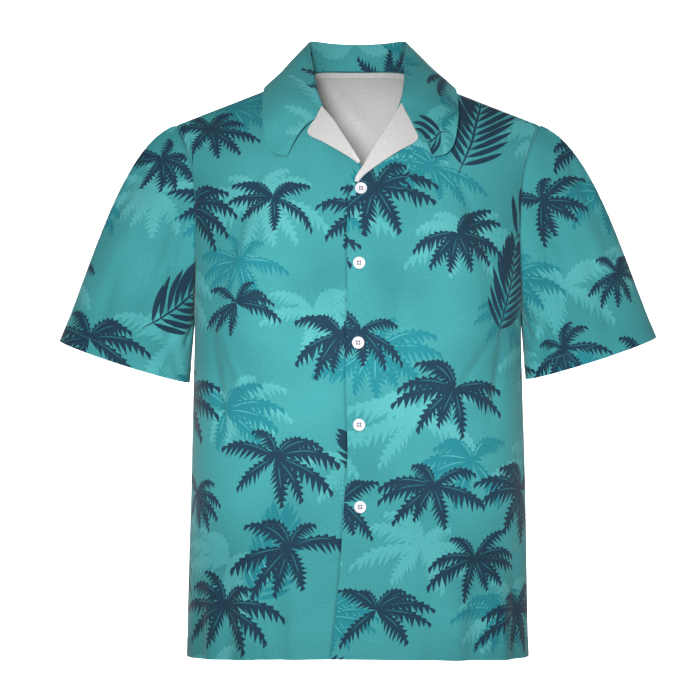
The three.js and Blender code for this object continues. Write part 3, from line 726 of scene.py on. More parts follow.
def collar_sheet():
    """The collar from right front to left front, and from its outer edge to the neck seam."""
    last = len(COLLAR_STATIONS) - 1
    rows = [collar_station(i, RIGHT) for i in range(last + 1)]
    rows += [collar_station(i, LEFT) for i in range(last - 1, -1, -1)]
    net = np.array(rows)[:, ::-1]
    stations, columns = net.shape[:2]
    roll_at = columns - 4
    i, j = np.meshgrid(
        np.linspace(0, stations - 1, (stations - 1) * FINER + 1),
        np.linspace(0, columns - 1, (columns - 1) * FINER + 1),
        indexing="ij",
    )
    point, normal = net_surface(net, COLLAR_SIGN)(i, j)
    fall = np.clip(1 - j / roll_at, 0, 1)
    wave = 0.5 * np.sin(i * 1.9 + 0.7) + 0.35 * np.sin(i * 3.1 + j * 0.5)
    point = point + normal * (wave * smooth(fall * 1.4))[..., None]
    clear = keep_clear(point, LEAF_CLEAR - 0.6)
    finer = net_surface(np.where((j < roll_at)[..., None], clear, point), COLLAR_SIGN)

    def surface(a, b):
        j = np.where(b < ROLL_B, b / ROLL_B * roll_at,
                     roll_at + (b - ROLL_B) / (1 - ROLL_B) * (columns - 1 - roll_at))
        point, normal = finer(a * (stations - 1) * FINER, j * FINER)
        return point + normal * (COLLAR_CLOTH / 2), normal

    return surface


def lapel_sheet(hand):
    """A turned-back lapel: a = 0 at its top, b = 0 at its free edge, then round the fold."""
    roll, edge = LAPELS[hand]
    roll = np.array(roll, float)
    edge = np.array(edge, float)
    count = len(roll) - 1
    order = np.arange(count + 1)

    def along(table, a):
        at = np.clip(a, 0, 1) * count
        return np.stack([sample(order, table[:, k], at) for k in range(2)], -1)

    def flat_part(a, s):
        place = along(edge, a) + (along(roll, a) - along(edge, a)) * s[..., None]
        x, z = place[..., 0], place[..., 1]
        lap = LAP_LIFT if hand == LEFT else 0
        lift = LAPEL_LIFT + lap * lap_share(x)
        tip = np.sin(math.pi * np.clip(1.6 * (1 - a) - 0.3, 0, 1))
        lift = lift + LAPEL_TIP_LIFT * (1 - s) * tip
        lift = lift + 0.8 * np.sin(a * 5) * np.sin(math.pi * s)
        point, normal = body_surface(FRONT, x, z, lift)
        return point + FORWARD, normal

    def surface(a, b):
        s = np.clip(b / FOLD_B, 0, 1)
        point, normal = flat_part(a, s)
        near = flat_part(a, np.full_like(s, 0.97))[0]
        fold, fold_normal = flat_part(a, np.ones_like(s))
        away = unit(fold - near)
        turn = np.clip((b - FOLD_B) / (1 - FOLD_B), 0, 1) * math.pi
        ring_normal = fold_normal * np.cos(turn)[..., None] + away * np.sin(turn)[..., None]
        ring = fold - fold_normal * FOLD_RADIUS + ring_normal * FOLD_RADIUS
        turned_in = (b > FOLD_B)[..., None]
        return np.where(turned_in, ring, point), np.where(turned_in, ring_normal, normal)

    return surface


# Print: tones of ink, from the lowest to the topmost, and the leaves drawn with them
GROUND, PALE, MIDTONE, DARK, VEIN, INSIDE, TAPE = range(7)


def turned(points, angle, place):
    c, s = math.cos(angle), math.sin(angle)
    return np.asarray(points, float) @ np.array([[c, s], [-s, c]]) + np.asarray(place, float)


def slit(line, width):
    """A thin lens along a line."""
    line = np.asarray(line, float)
    ahead = unit(np.gradient(line, axis=0))
    side = np.stack([-ahead[:, 1], ahead[:, 0]], -1)
    t = np.linspace(0, 1, len(line))
    half = (width / 2) * np.sin(math.pi * t)[:, None] ** 0.6
    half[0] = half[-1] = 0
    return np.concatenate([line + side * half, (line - side * half)[-2:0:-1]])


def bent_line(angle, length, bend, steps):
    """A line that bends more towards its end, with its heading at each point."""
    heading = angle
    spot = np.zeros(2)
    spots, headings = [spot], [heading]
    for i in range(steps):
        heading += bend / steps * (0.45 + 1.1 * i / steps)
        spot = spot + np.array([math.cos(heading), math.sin(heading)]) * length / steps
        spots.append(spot)
        headings.append(heading)
    return np.array(spots), headings


def palm_leaf(rng, angle, length, bend, width, teeth):
    """A drooping leaf: short teeth on its upper edge and a long fringe on its lower one."""
    ribs, headings = bent_line(angle, length, bend, teeth * 2)
    upper_side = 1.0 if math.cos(angle) >= 0 else -1.0
    hanging = max(0.0, -math.sin(angle))

    def off(i, out, forward, drop=0.0):
        heading = headings[i]
        side = np.array([-math.sin(heading), math.cos(heading)]) * upper_side
        ahead = np.array([math.cos(heading), math.sin(heading)])
        return ribs[i] + side * out + ahead * forward - np.array([0, drop])

    upper, lower = [], []
    for k in range(teeth):
        t = (k + 0.6) / teeth
        full = width * math.sin(math.pi * (0.1 + 0.87 * t)) ** 0.75
        i = 2 * k + 1
        pitch = length / teeth
        high = full * (0.26 + 0.4 * hanging + 0.1 * rng.random())
        low = full * (0.85 + 0.4 * rng.random()) * (1 - 0.3 * hanging)
        upper.append(off(i, high * 0.4, -pitch * 0.1))
        upper.append(off(i, high, pitch * 0.8))
        lower.append(off(i, -low * 0.32, -pitch * 0.05))
        lower.append(off(i, -low, pitch * (1.0 + 0.5 * rng.random()), low * 0.2))
    tip = off(2 * teeth, 0, length * 0.07)
    outline = [np.zeros(2)] + upper + [tip] + lower[::-1]
    return np.array(outline), ribs


# Leaves of a crown: direction in degrees from level, and length
CROWN_LEAVES = ((80, 0.36), (54, 0.46), (26, 0.58), (-3, 0.6), (-33, 0.5), (-66, 0.42))


def palm_crown(rng, size, tone):
    """A palm's head seen from the side: leaves arch up and out, and hang at their ends."""
    leaves = [(degrees, reach, hand) for hand in (1, -1) for degrees, reach in CROWN_LEAVES]
    for _ in range(rng.randint(3, 4)):
        leaves.pop(rng.randrange(len(leaves)))
    rng.shuffle(leaves)
    shapes = []
    for degrees, reach, hand in leaves:
        degrees += rng.uniform(-8, 8)
        bend = -hand * math.radians(degrees + 90) * rng.uniform(0.42, 0.66)
        angle = math.radians(degrees if hand > 0 else 180 - degrees)
        length = size * reach * rng.uniform(0.88, 1.1)
        width = size * rng.uniform(0.105, 0.135)
        outline, ribs = palm_leaf(rng, angle, length, bend, width, 9)
        shapes.append((tone, outline))
        vein = VEIN if tone == DARK else PALE
        if tone != PALE:
            shapes.append((vein, slit(ribs[2:-5:2], size * 0.011)))
    return shapes


def feather(rng, size, tone):
    """One long leaf with narrow separate leaflets."""
    bend = rng.choice((-1, 1)) * rng.uniform(0.25, 0.5)
    steps = 24
    ribs, headings = bent_line(math.pi / 2, size, bend, steps)
    ribs = ribs - np.array([0, size / 2])
    shapes = [(tone, slit(ribs, size * 0.022))]
    for i in range(3, steps + 1, 2):
        t = i / steps
        long = size * 0.46 * math.sin(math.pi * (0.2 + 0.7 * t)) ** 0.8
        for hand in (1, -1):
            out = headings[i] + hand * (0.95 - 0.5 * t + 0.1 * rng.random())
            leaflet, _ = bent_line(out, long, -hand * 0.3, 6)
            shapes.append((tone, slit(ribs[i] + leaflet, size * 0.055)))
    return shapes


MOTIFS = {"crown": palm_crown, "feather": feather}
# Layers of the print: tone, kinds, sizes of each kind, least distance apart
PRINT_LAYERS = (
    (PALE, ("crown",), {"crown": (118, 158)}, 140.0),
    (MIDTONE, ("crown",) * 4 + ("feather",), {"crown": (96, 130), "feather": (110, 130)}, 172.0),
    (
        DARK,
        ("crown",) * 6 + ("feather",),
        {"crown": (90, 142), "feather": (120, 146)},
        108.0,
    ),
)


def scatter(rng, low, high):
    """Places motifs over a piece, layer by layer, each layer's own distance apart."""
    placed = []
    for tone, kinds, sizes, apart in PRINT_LAYERS:
        spots = []
        for _ in range(1500):
            spot = np.array([rng.uniform(low[0], high[0]), rng.uniform(low[1], high[1])])
            if all(np.hypot(*(spot - other)) > apart for other in spots):
                spots.append(spot)
        for spot in spots:
            kind = rng.choice(kinds)
            size = rng.uniform(*sizes[kind])
            tilt = rng.uniform(-0.3, 0.3) if kind == "crown" else rng.uniform(-0.9, 0.9)
            for shape_tone, outline in MOTIFS[kind](rng, size, tone):
                placed.append((shape_tone, turned(outline, tilt, spot)))
    return placed


# Flat patterns, cutting the print into them, and closing each sheet to a shell

def bilinear(grid, a, b):
    columns, rows = grid.shape
    x = a * (columns - 1)
    y = b * (rows - 1)
    i = np.clip(np.floor(x).astype(int), 0, columns - 2)
    j = np.clip(np.floor(y).astype(int), 0, rows - 2)
    s, t = x - i, y - j
    return (
        grid[i, j] * (1 - s) * (1 - t)
        + grid[i + 1, j] * s * (1 - t)
        + grid[i, j + 1] * (1 - s) * t
        + grid[i + 1, j + 1] * s * t
    )


def spots_of(flat, places):
    """Spots of the flat pattern at given places of a sheet."""
    return np.stack([bilinear(grid, *places.T) for grid in flat], -1)


def doubled_areas(spots, faces):
    """Twice the area of each triangle, negative where it runs clockwise."""
    corner = spots[faces]
    return np.cross(corner[:, 1] - corner[:, 0], corner[:, 2] - corner[:, 0])


def loop_edges(start, count):
    return [(start + i, start + (i + 1) % count) for i in range(count)]


def rim_pairs(faces):
    """The sides that only one triangle has, in order."""
    pairs = np.concatenate([faces[:, [0, 1]], faces[:, [1, 2]], faces[:, [2, 0]]])
    seen = set(map(tuple, pairs.tolist()))
    return sorted((p, q) for p, q in seen if (q, p) not in seen)


def sheet_grid(surface):
    a, b = np.meshgrid(np.linspace(0, 1, 161), np.linspace(0, 1, 201), indexing="ij")
    return surface(a, b)[0]


def flatten(surface, anchor, level=None):
    """The flat pattern of a sheet: distances across and up it, on a grid of its places.

    Distances up start at the hem's own height, or at the line across that is level with 0."""
    points = sheet_grid(surface)
    columns, rows = points.shape[:2]
    up = np.linalg.norm(np.diff(points, axis=1), axis=-1)
    v = np.concatenate([np.zeros((columns, 1)), np.cumsum(up, axis=1)], axis=1)
    if level is None:
        v += points[:, :1, 2] - points[:, :1, 2].min()
    else:
        v -= v[:, int(round(level * (rows - 1)))][:, None]
    across = np.linalg.norm(np.diff(points, axis=0), axis=-1)
    rise = np.diff(v, axis=0)
    flat_step = np.sqrt(np.maximum(across**2 - rise**2, (0.35 * across) ** 2))
    u = np.concatenate([np.zeros((1, rows)), np.cumsum(flat_step, axis=0)], axis=0)
    u -= u[int(round(anchor * (columns - 1)))]
    return u, v


def flatten_tube(surface, hand):
    """The flat pattern of a sleeve: distances along its top line, and round it at each level."""
    points = sheet_grid(surface)
    columns, rows = points.shape[:2]
    axis = np.array([hand * SLEEVE_AXIS[0], 0, SLEEVE_AXIS[1]])
    height = -(points @ axis)
    height = np.maximum.accumulate(height - height[:, :1].min(), axis=1)
    height += np.linspace(0, 0.01, rows)
    levels = np.linspace(0, height.max(), 240)
    at = np.empty((columns, len(levels), 3))
    for i in range(columns):
        for k in range(3):
            at[i, :, k] = np.interp(levels, height[i], points[i, :, k])
    middle = columns // 2
    round_it = np.linalg.norm(np.diff(at, axis=0), axis=-1)
    total = np.concatenate([np.zeros((1, len(levels))), np.cumsum(round_it, axis=0)], axis=0)
    total -= total[middle]
    u = np.array([np.interp(height[i], levels, total[i]) for i in range(columns)])
    top = np.linalg.norm(np.diff(points[middle], axis=0), axis=-1)
    top = np.concatenate([[0], np.cumsum(top)])
    v = np.interp(height, height[middle], top)
    return u, v


def find_places(flat, spots):
    """The places of a sheet at given spots of its flat pattern, also a little past its edges."""
    u, v = flat
    columns, rows = u.shape
    every = 3
    ia, ib = np.meshgrid(np.arange(columns)[::every], np.arange(rows)[::every], indexing="ij")
    coarse = np.stack([u[::every, ::every].ravel(), v[::every, ::every].ravel()], -1)
    a = np.empty(len(spots))
    b = np.empty(len(spots))
    for start in range(0, len(spots), FIND_AT_ONCE):
        part = slice(start, start + FIND_AT_ONCE)
        nearest = ((spots[part][:, None] - coarse[None]) ** 2).sum(axis=-1).argmin(axis=1)
        a[part] = ia.ravel()[nearest] / (columns - 1)
        b[part] = ib.ravel()[nearest] / (rows - 1)
    step = 0.5 / rows
    for _ in range(9):
        off_u = spots[:, 0] - bilinear(u, a, b)
        off_v = spots[:, 1] - bilinear(v, a, b)
        ua = (bilinear(u, a + step, b) - bilinear(u, a - step, b)) / (2 * step)
        ub = (bilinear(u, a, b + step) - bilinear(u, a, b - step)) / (2 * step)
        va = (bilinear(v, a + step, b) - bilinear(v, a - step, b)) / (2 * step)
        vb = (bilinear(v, a, b + step) - bilinear(v, a, b - step)) / (2 * step)
        det = ua * vb - ub * va
        det = np.where(np.abs(det) < 1e-6, 1e-6, det)
        a = np.clip(a + np.clip((off_u * vb - off_v * ub) / det, -0.05, 0.05), *PAST)
        b = np.clip(b + np.clip((off_v * ua - off_u * va) / det, -0.05, 0.05), *PAST)
    return a, b


def inside_polygon(points, polygon):
    """Which points lie inside an outline, by how often it winds round them."""
    winding = np.zeros(len(points), int)
    x, y = points[:, 0], points[:, 1]
    for (x0, y0), (x1, y1) in zip(polygon, np.roll(polygon, -1, axis=0)):
        left = (x1 - x0) * (y - y0) - (x - x0) * (y1 - y0)
        winding += ((y0 <= y) & (y1 > y) & (left > 0)).astype(int)
        winding -= ((y0 > y) & (y1 <= y) & (left < 0)).astype(int)
    return winding != 0


def lines_along(length, step, near_start=(), near_end=()):
    """Even steps along a side of a sheet, with lines at set distances from its ends."""
    count = int(round(length / step))
    marks = [d / length for d in near_start] + [1 - d / length for d in near_end]
    even = [k / count for k in range(1, count)]
    kept = [m for m in even if all(abs(m - mark) * length > step * 0.5 for mark in marks)]
    return np.array([0.0] + sorted(kept + marks) + [1.0])


def divided(outline, border, reach):
    """An outline whose sides are split finely where it runs near a sheet's border."""
    ahead = np.roll(outline, -1, axis=0)
    middle = (outline + ahead) / 2
    away = np.sqrt(((middle[:, None] - border[None]) ** 2).sum(axis=-1)).min(axis=1)
    parts = []
    for start, end, far in zip(outline, ahead, away):
        long = np.hypot(*(end - start))
        count = math.ceil(long / DENSE_STEP) if far < reach + long / 2 else 1
        parts.append(start + (end - start) * (np.arange(count) / count)[:, None])
    return np.concatenate(parts)


def cut_sheet(flat, across, up, shapes, corners, reach=DENSE_REACH):
    """Triangles of a sheet with the print's outlines cut in: places, triangles and inks."""
    ring = []
    for (a0, b0), (a1, b1) in zip(corners, corners[1:] + corners[:1]):
        if a0 != a1:
            lines = across[(across > min(a0, a1)) & (across < max(a0, a1))]
            side = [(a, b0) for a in (lines if a1 > a0 else lines[::-1])]
        else:
            lines = up[(up > min(b0, b1)) & (up < max(b0, b1))]
            side = [(a0, b) for b in (lines if b1 > b0 else lines[::-1])]
        ring += [(a0, b0)] + side
    a, b = np.meshgrid(across[1:-1], up[1:-1], indexing="ij")
    inner = np.stack([a.ravel(), b.ravel()], -1)
    inner = inner[inside_polygon(inner, np.array(corners, float))]
    on_edge = {tuple(np.round(p, 6)) for p in ring}
    inner = np.array([p for p in inner if tuple(np.round(p, 6)) not in on_edge])
    ring = np.array(ring)
    scale = np.array([np.ptp(flat[0]), np.ptp(flat[1])])
    border = spots_of(flat, ring)
    low, high = border.min(axis=0), border.max(axis=0)
    drawn = []
    for tone, outline in shapes:
        if (outline.max(axis=0) > low).all() and (outline.min(axis=0) < high).all():
            drawn.append((tone, divided(outline, border, reach)))
    sizes = np.cumsum([len(outline) for _, outline in drawn])[:-1]
    found = np.stack(find_places(flat, np.concatenate([o for _, o in drawn])), -1) * scale
    drawn = [(tone, place) for (tone, _), place in zip(drawn, np.split(found, sizes))]
    points = [Vector(p) for p in np.concatenate([ring, inner]) * scale]
    edges = loop_edges(0, len(ring))
    for _, outline in drawn:
        edges += loop_edges(len(points), len(outline))
        points += [Vector(p) for p in outline]
    made = delaunay_2d_cdt(points, edges, [], 0, 1e-4)
    verts = np.array([tuple(v) for v in made[0]])
    faces = np.array([f for f in made[2] if len(f) == 3])
    centres = verts[faces].mean(axis=1)
    area = doubled_areas(verts, faces)
    keep = inside_polygon(centres, ring * scale) & (np.abs(area) > 1e-5)
    faces, centres, area = faces[keep], centres[keep], area[keep]
    faces[area < 0] = faces[area < 0][:, ::-1]
    ink = np.full(len(faces), GROUND)
    for tone, outline in drawn:
        if tone is None:
            continue
        near = (centres > outline.min(axis=0)) & (centres < outline.max(axis=0))
        index = np.nonzero(near.all(axis=1))[0]
        ink[index[inside_polygon(centres[index], outline)]] = tone
    used = np.unique(faces)
    renumber = np.full(len(verts), -1)
    renumber[used] = np.arange(len(used))
    places = np.clip(verts[used] / scale, 0, 1)
    return places, spots_of(flat, places), renumber[faces], ink


def surface_directions(surface, a, b, raise_of):
    """Outward directions of the creased surface, from points a small step apart."""
    step = 0.0012

    def at(p, q):
        p, q = np.clip(p, 0, 1), np.clip(q, 0, 1)
        point, normal = surface(p, q)
        return point + normal * raise_of(p, q)[:, None]

    along_a = at(a + step, b) - at(a - step, b)
    along_b = at(a, b + step) - at(a, b - step)
    found = unit(np.cross(along_a, along_b))
    guide = surface(a, b)[1]
    agree = (found * guide).sum(axis=1, keepdims=True)
    return np.where(np.abs(agree) < 0.3, guide, found * np.sign(agree))


def grid_cut(flat, across, up, ink):
    """Triangles of a small unprinted sheet, in rows."""
    a, b = np.meshgrid(across, up, indexing="ij")
    places = np.stack([a.ravel(), b.ravel()], -1)
    i, j = np.meshgrid(np.arange(len(across) - 1), np.arange(len(up) - 1), indexing="ij")
    first = (i * len(up) + j).ravel()
    over = first + len(up)
    faces = np.concatenate([
        np.stack([first, over, over + 1], -1), np.stack([first, over + 1, first + 1], -1),
    ])
    return places, spots_of(flat, places), faces, np.full(len(faces), ink)


def link_new(name, data):
    """A new object in the scene."""
    made = bpy.data.objects.new(name, data)
    bpy.context.scene.collection.objects.link(made)
    return made


def shell(name, surface, cut, thick, raise_of, flip, under=INSIDE, rim=GROUND):
    """A closed shell: printed outer faces, plain inner faces and rims along every edge."""
    places, spots, faces, ink = cut
    a, b = places.T
    outer, normal = surface(a, b)
    raised = raise_of(a, b)
    outer = outer + normal * raised[:, None]
    inner = outer - normal * (thick + raised * 1.7)[:, None]
    count = len(outer)
    if flip:
        faces = faces[:, ::-1]
    rims = rim_pairs(faces)
    polygons = faces.tolist()
    polygons += (faces[:, ::-1] + count).tolist()
    polygons += [(q, p, p + count, q + count) for p, q in rims]
    mesh = bpy.data.meshes.new(name)
    mesh.from_pydata((np.concatenate([outer, inner]) * MM).tolist(), [], polygons)
    inks = np.concatenate([ink, np.full(len(faces), under), np.full(len(rims), rim)])
    mesh.polygons.foreach_set("material_index", inks.astype(np.int32))
    mesh.polygons.foreach_set("use_smooth", np.ones(len(polygons), bool))
    corner = np.empty(len(mesh.loops), np.int32)
    mesh.loops.foreach_get("vertex_index", corner)
    layer = mesh.uv_layers.new(name="cloth")
    uv = np.concatenate([spots, spots]) * MM
    layer.data.foreach_set("uv", uv[corner].astype(np.float32).ravel())
    mesh.update()
    directions = surface_directions(surface, a, b, raise_of)
    per_corner = np.concatenate([directions, -directions])[corner]
    ends = np.array(rims)
    away = unit(np.cross(outer[ends[:, 1]] - outer[ends[:, 0]], normal[ends[:, 0]]))
    per_corner[len(faces) * 6:] = np.repeat(away, 4, axis=0)
    mesh.normals_split_custom_set(per_corner.tolist())
    return link_new(name, mesh)


# Materials

def colour(code):
    parts = [int(code[i:i + 2], 16) / 255 for i in (1, 3, 5)]
    return tuple(c / 12.92 if c <= 0.04045 else ((c + 0.055) / 1.055) ** 2.4 for c in parts) + (1,)


def add(tree, kind, inputs=(), **settings):
    """Makes a node. Inputs are given by name or number, as values or as other nodes' outputs."""
    node = tree.nodes.new(kind)
    for key, value in settings.items():
        setattr(node, key, value)
    for key, value in dict(inputs).items():
        if isinstance(value, bpy.types.NodeSocket):
            tree.links.new(value, node.inputs[key])
        else:
            node.inputs[key].default_value = value
    return node


def new_material(name):
    material = bpy.data.materials.new(name)
    material.use_nodes = True
    return material, material.node_tree, material.node_tree.nodes["Principled BSDF"]


def mixed(tree, kind, factor, first, second):
    """Blends two colours. The colour sockets of a mix node are numbers 6 and 7."""
    node = add(tree, "ShaderNodeMix", {0: factor, 6: first, 7: second},
               data_type="RGBA", blend_type=kind)
    return node.outputs[2]


def weave(tree, where, strength):
    """Fine plain weave, slubs and shallow rumples as one bump, and the noise of the slubs."""
    noise = {"Vector": where, "Detail": 4.0, "Roughness": 0.6}
    warp, weft = (
        add(tree, "ShaderNodeTexWave", {"Vector": where, "Scale": scale, "Distortion": wander,
                                        "Detail": 1.0}, bands_direction=way).outputs[1]
        for scale, wander, way in ((520.0, 1.2, "X"), (470.0, 1.4, "Y"))
    )
    cross = add(tree, "ShaderNodeMath", {0: warp, 1: weft}, operation="MULTIPLY")
    slub = add(tree, "ShaderNodeTexNoise", {**noise, "Scale": 300.0})
    soft = add(tree, "ShaderNodeTexNoise", {**noise, "Scale": 17.0, "Detail": 3.0})
    bump = None
    for height, amount, distance in (
        (cross.outputs[0], strength, 0.00022),
        (slub.outputs[0], strength * 0.8, 0.0002),
        (soft.outputs[0], 0.3, 0.003),
    ):
        inputs = {"Height": height, "Strength": amount, "Distance": distance}
        if bump is not None:
            inputs["Normal"] = bump.outputs[0]
        bump = add(tree, "ShaderNodeBump", inputs)
    return slub.outputs[0], bump.outputs[0]


def spread(tree, value, low, high, to_low, to_high):
    return add(tree, "ShaderNodeMapRange", {"Value": value, "From Min": low, "From Max": high,
                                            "To Min": to_low, "To Max": to_high}).outputs[0]


def cloth_material(name, base, shade, strength=0.5):
    """Matte cotton poplin: its colour drifts a little and its yarns differ slightly."""
    material, tree, shader = new_material(name)
    where = add(tree, "ShaderNodeUVMap", uv_map="cloth").outputs[0]
    slub, bump = weave(tree, where, strength)
    wide = add(tree, "ShaderNodeTexNoise", {"Vector": where, "Scale": 6.0, "Detail": 2.0})
    drift = mixed(tree, "MIX", spread(tree, wide.outputs[0], 0.4, 0.62, 0, 1),
                  colour(base), colour(shade))
    yarn = spread(tree, slub, 0.35, 0.65, 0.93, 1.05)
    grey = add(tree, "ShaderNodeCombineColor", {0: yarn, 1: yarn, 2: yarn}).outputs[0]
    tree.links.new(mixed(tree, "MULTIPLY", 1.0, drift, grey), shader.inputs["Base Color"])
    shader.inputs["Roughness"].default_value = 0.82
    shader.inputs["Specular IOR Level"].default_value = 0.3
    shader.inputs["Sheen Weight"].default_value = 0.12
    shader.inputs["Sheen Roughness"].default_value = 0.5
    tree.links.new(bump, shader.inputs["Normal"])
    return material


def resin_material():
    """Polished white button resin with faint clouds, its gloss varying with the clouds."""
    material, tree, shader = new_material("button_resin")
    where = add(tree, "ShaderNodeTexCoord").outputs["Object"]
    cloud = add(tree, "ShaderNodeTexNoise", {"Vector": where, "Scale": 160.0, "Detail": 3.0})
    tint = mixed(tree, "MIX", cloud.outputs[0], colour("#f2f3f6"), colour("#e3e2ea"))
    tree.links.new(tint, shader.inputs["Base Color"])
    tree.links.new(spread(tree, cloud.outputs[0], 0.3, 0.7, 0.2, 0.34),
                   shader.inputs["Roughness"])
    bump = add(tree, "ShaderNodeBump", {"Height": cloud.outputs[0], "Strength": 0.15,
                                        "Distance": 0.0001})
    tree.links.new(bump.outputs[0], shader.inputs["Normal"])
    shader.inputs["Coat Weight"].default_value = 0.3
    return material


def thread_material(name, code, shade):
    """Twisted sewing thread."""
    material, tree, shader = new_material(name)
    where = add(tree, "ShaderNodeTexCoord").outputs["Object"]
    twist = add(tree, "ShaderNodeTexWave", {"Vector": where, "Scale": 900.0, "Distortion": 2.0},
                bands_direction="DIAGONAL")
    tint = mixed(tree, "MIX", twist.outputs[1], colour(code), colour(shade))
    tree.links.new(tint, shader.inputs["Base Color"])
    bump = add(tree, "ShaderNodeBump", {"Height": twist.outputs[1], "Strength": 0.4,
                                        "Distance": 0.0001})
    tree.links.new(bump.outputs[0], shader.inputs["Normal"])
    shader.inputs["Roughness"].default_value = 0.55
    return material


# In the order of the inks above
CLOTH_COLOURS = {
    "ground": ("#46a7ab", "#3a9599"),
    "pale": ("#5ebcbf", "#4dabae"),
    "midtone": ("#228f9b", "#1d828e"),
    "dark": ("#193f55", "#14374b"),
    "vein": ("#2c7985", "#28707c"),
    "inside": ("#dededc", "#d9d9d8"),
    "tape": ("#f6f6f4", "#f2f2f0"),
}
CLOTH_MATERIALS = [cloth_material(f"cloth_{k}", *pair) for k, pair in CLOTH_COLOURS.items()]
RESIN = resin_material()
BUTTON_THREAD = thread_material("button_thread", "#8f7590", "#a78aa0")
SEAM_THREAD = thread_material("seam_thread", "#3f9da0", "#57b3b4")


def hem_raise(flat):
    """A hem turned up inside: the cloth stands a little proud down to its stitch line."""

    def raise_of(a, b):
        up = bilinear(flat[1], a, b) - bilinear(flat[1], a, np.zeros_like(b))
        return HEM_RAISE * (1 - smooth((up - HEM_DEPTH + 0.8) / 1.6))

    return raise_of


def no_raise(a, b):
    return np.zeros_like(a)


def press_guides(surface, flat):
    """Outlines with no ink along the pressed line, so that the cloth is finely cut there."""
    points = sheet_grid(surface)
    z = np.linspace(HEM_FRONT_Z + 2, PRESS_TOP_Z, 230)
    edge = column(FRONT_EDGE[LEFT], 0, z, 1)
    shapes = []
    for near, far in PRESS_LINES:
        x = np.concatenate([edge - near, (edge - far)[::-1]])
        spots = np.stack([x, np.concatenate([z, z[::-1]])], -1)
        a, b = find_places((points[..., 0], points[..., 2]), spots)
        shapes.append((None, spots_of(flat, np.stack([a, b], -1))))
    return shapes


def hand_over(piece, nodes):
    """Every piece rides on the one body, and takes the place of these solids."""
    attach(piece, "root")
    if nodes:
        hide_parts(*nodes)


def finish_cloth(piece, nodes):
    for material in CLOTH_MATERIALS:
        piece.data.materials.append(material)
    hand_over(piece, nodes)


def cloth_piece(name, node, surface, flat, across, up, seed, flip, hem=True,
                corners=((0, 0), (1, 0), (1, 1), (0, 1)), thick=CLOTH, under=INSIDE,
                reach=DENSE_REACH):
    """Makes one printed piece of the shirt."""
    rng = random.Random(seed)
    low = [flat[0].min() - 60, flat[1].min() - 60]
    high = [flat[0].max() + 60, flat[1].max() + 60]
    shapes = scatter(rng, low, high)
    if name == "cloth_front_right":
        shapes += press_guides(surface, flat)
    cut = cut_sheet(flat, across, up, shapes, list(corners), reach)
    raise_of = hem_raise(flat) if hem else no_raise
    piece = shell(name, surface, cut, thick, raise_of, flip, under)
    finish_cloth(piece, [node])


def stretches(marks, counts):
    """Even steps from mark to mark, with each stretch's own count."""
    parts = [np.linspace(low, high, count, endpoint=False)
             for low, high, count in zip(marks, marks[1:], counts)]
    return np.append(np.concatenate(parts), marks[-1])


# Lines of each sheet's grid, with set distances from its ends for the hem, the tuck and the seams
HEM_LINES = (1.0, 18.2, 19.4, 20.6, 21.8)
TUCK_LINES = (0.7, 1.6, 3.0, 5.0)
SIDE_LINES = (0.7, 1.6, 3.0, 5.5)
UNDERARM_LINES = (1.4, 3.0)
FRONT_ACROSS = lines_along(PANEL_WIDTH, 5.6, (1.2, 2.8), (1.4, 3.0, 5.5))
BACK_ACROSS = lines_along(2 * PANEL_WIDTH, 8.4, SIDE_LINES, SIDE_LINES)
BACK_UP = lines_along(PANEL_LENGTH, 7.2, HEM_LINES, TUCK_LINES)
PANEL_UP = lines_along(PANEL_LENGTH, 5.6, HEM_LINES, (1.5, 3.0, 5.0))
SLEEVE_ACROSS = lines_along(SLEEVE_ROUND, 5.2, UNDERARM_LINES, UNDERARM_LINES)
SLEEVE_UP = lines_along(SLEEVE_TOP, 5.0, HEM_LINES, TUCK_LINES)
COLLAR_SPANS = 2 * (len(COLLAR_STATIONS) - 1)
COLLAR_ACROSS = np.linspace(0, 1, COLLAR_SPANS * 7 + 1)
COLLAR_UP = stretches((0, ROLL_B * 6 / 7, ROLL_B, ROLL_B + (1 - ROLL_B) / 3, 1), (12, 6, 6, 7))
GORGE_A = GORGE_STATIONS / COLLAR_SPANS
COLLAR_CORNERS = (
    (0, 0), (1, 0), (1, ROLL_B), (1 - GORGE_A, ROLL_B), (1 - GORGE_A, 1),
    (GORGE_A, 1), (GORGE_A, ROLL_B), (0, ROLL_B),
)
COLLAR_ACROSS = np.array(sorted(set(COLLAR_ACROSS.tolist()) | {GORGE_A, 1 - GORGE_A}))

sheets = {"back": back_sheet()}
for hand, word in HANDS.items():
    sheets[f"front_{word}"] = front_sheet(hand)
    sheets[f"sleeve_{word}"] = sleeve_sheet(hand)
    sheets[f"lapel_{word}"] = lapel_sheet(hand)
sheets["collar"] = collar_sheet()

flats = {"back": flatten(sheets["back"], 0.5), "collar": flatten(sheets["collar"], 0.5, ROLL_B)}
for hand, word in HANDS.items():
    flats[f"front_{word}"] = flatten(sheets[f"front_{word}"], 0.0)
    flats[f"sleeve_{word}"] = flatten_tube(sheets[f"sleeve_{word}"], hand)

cloth_piece("cloth_back", "back", sheets["back"], flats["back"], BACK_ACROSS, BACK_UP, 5, True)
for hand, word in HANDS.items():
    front, sleeve = f"front_{word}", f"sleeve_{word}"
    cloth_piece(f"cloth_{front}", front, sheets[front], flats[front], FRONT_ACROSS, PANEL_UP,
                11 + hand, hand == RIGHT)
    cloth_piece(f"cloth_{sleeve}", sleeve, sheets[sleeve], flats[sleeve], SLEEVE_ACROSS,
                SLEEVE_UP, 31 + hand, hand == RIGHT)
cloth_piece("cloth_collar", "collar", sheets["collar"], flats["collar"], COLLAR_ACROSS,
            COLLAR_UP, 61, True, False, COLLAR_CORNERS, COLLAR_CLOTH, GROUND, EVERYWHERE)


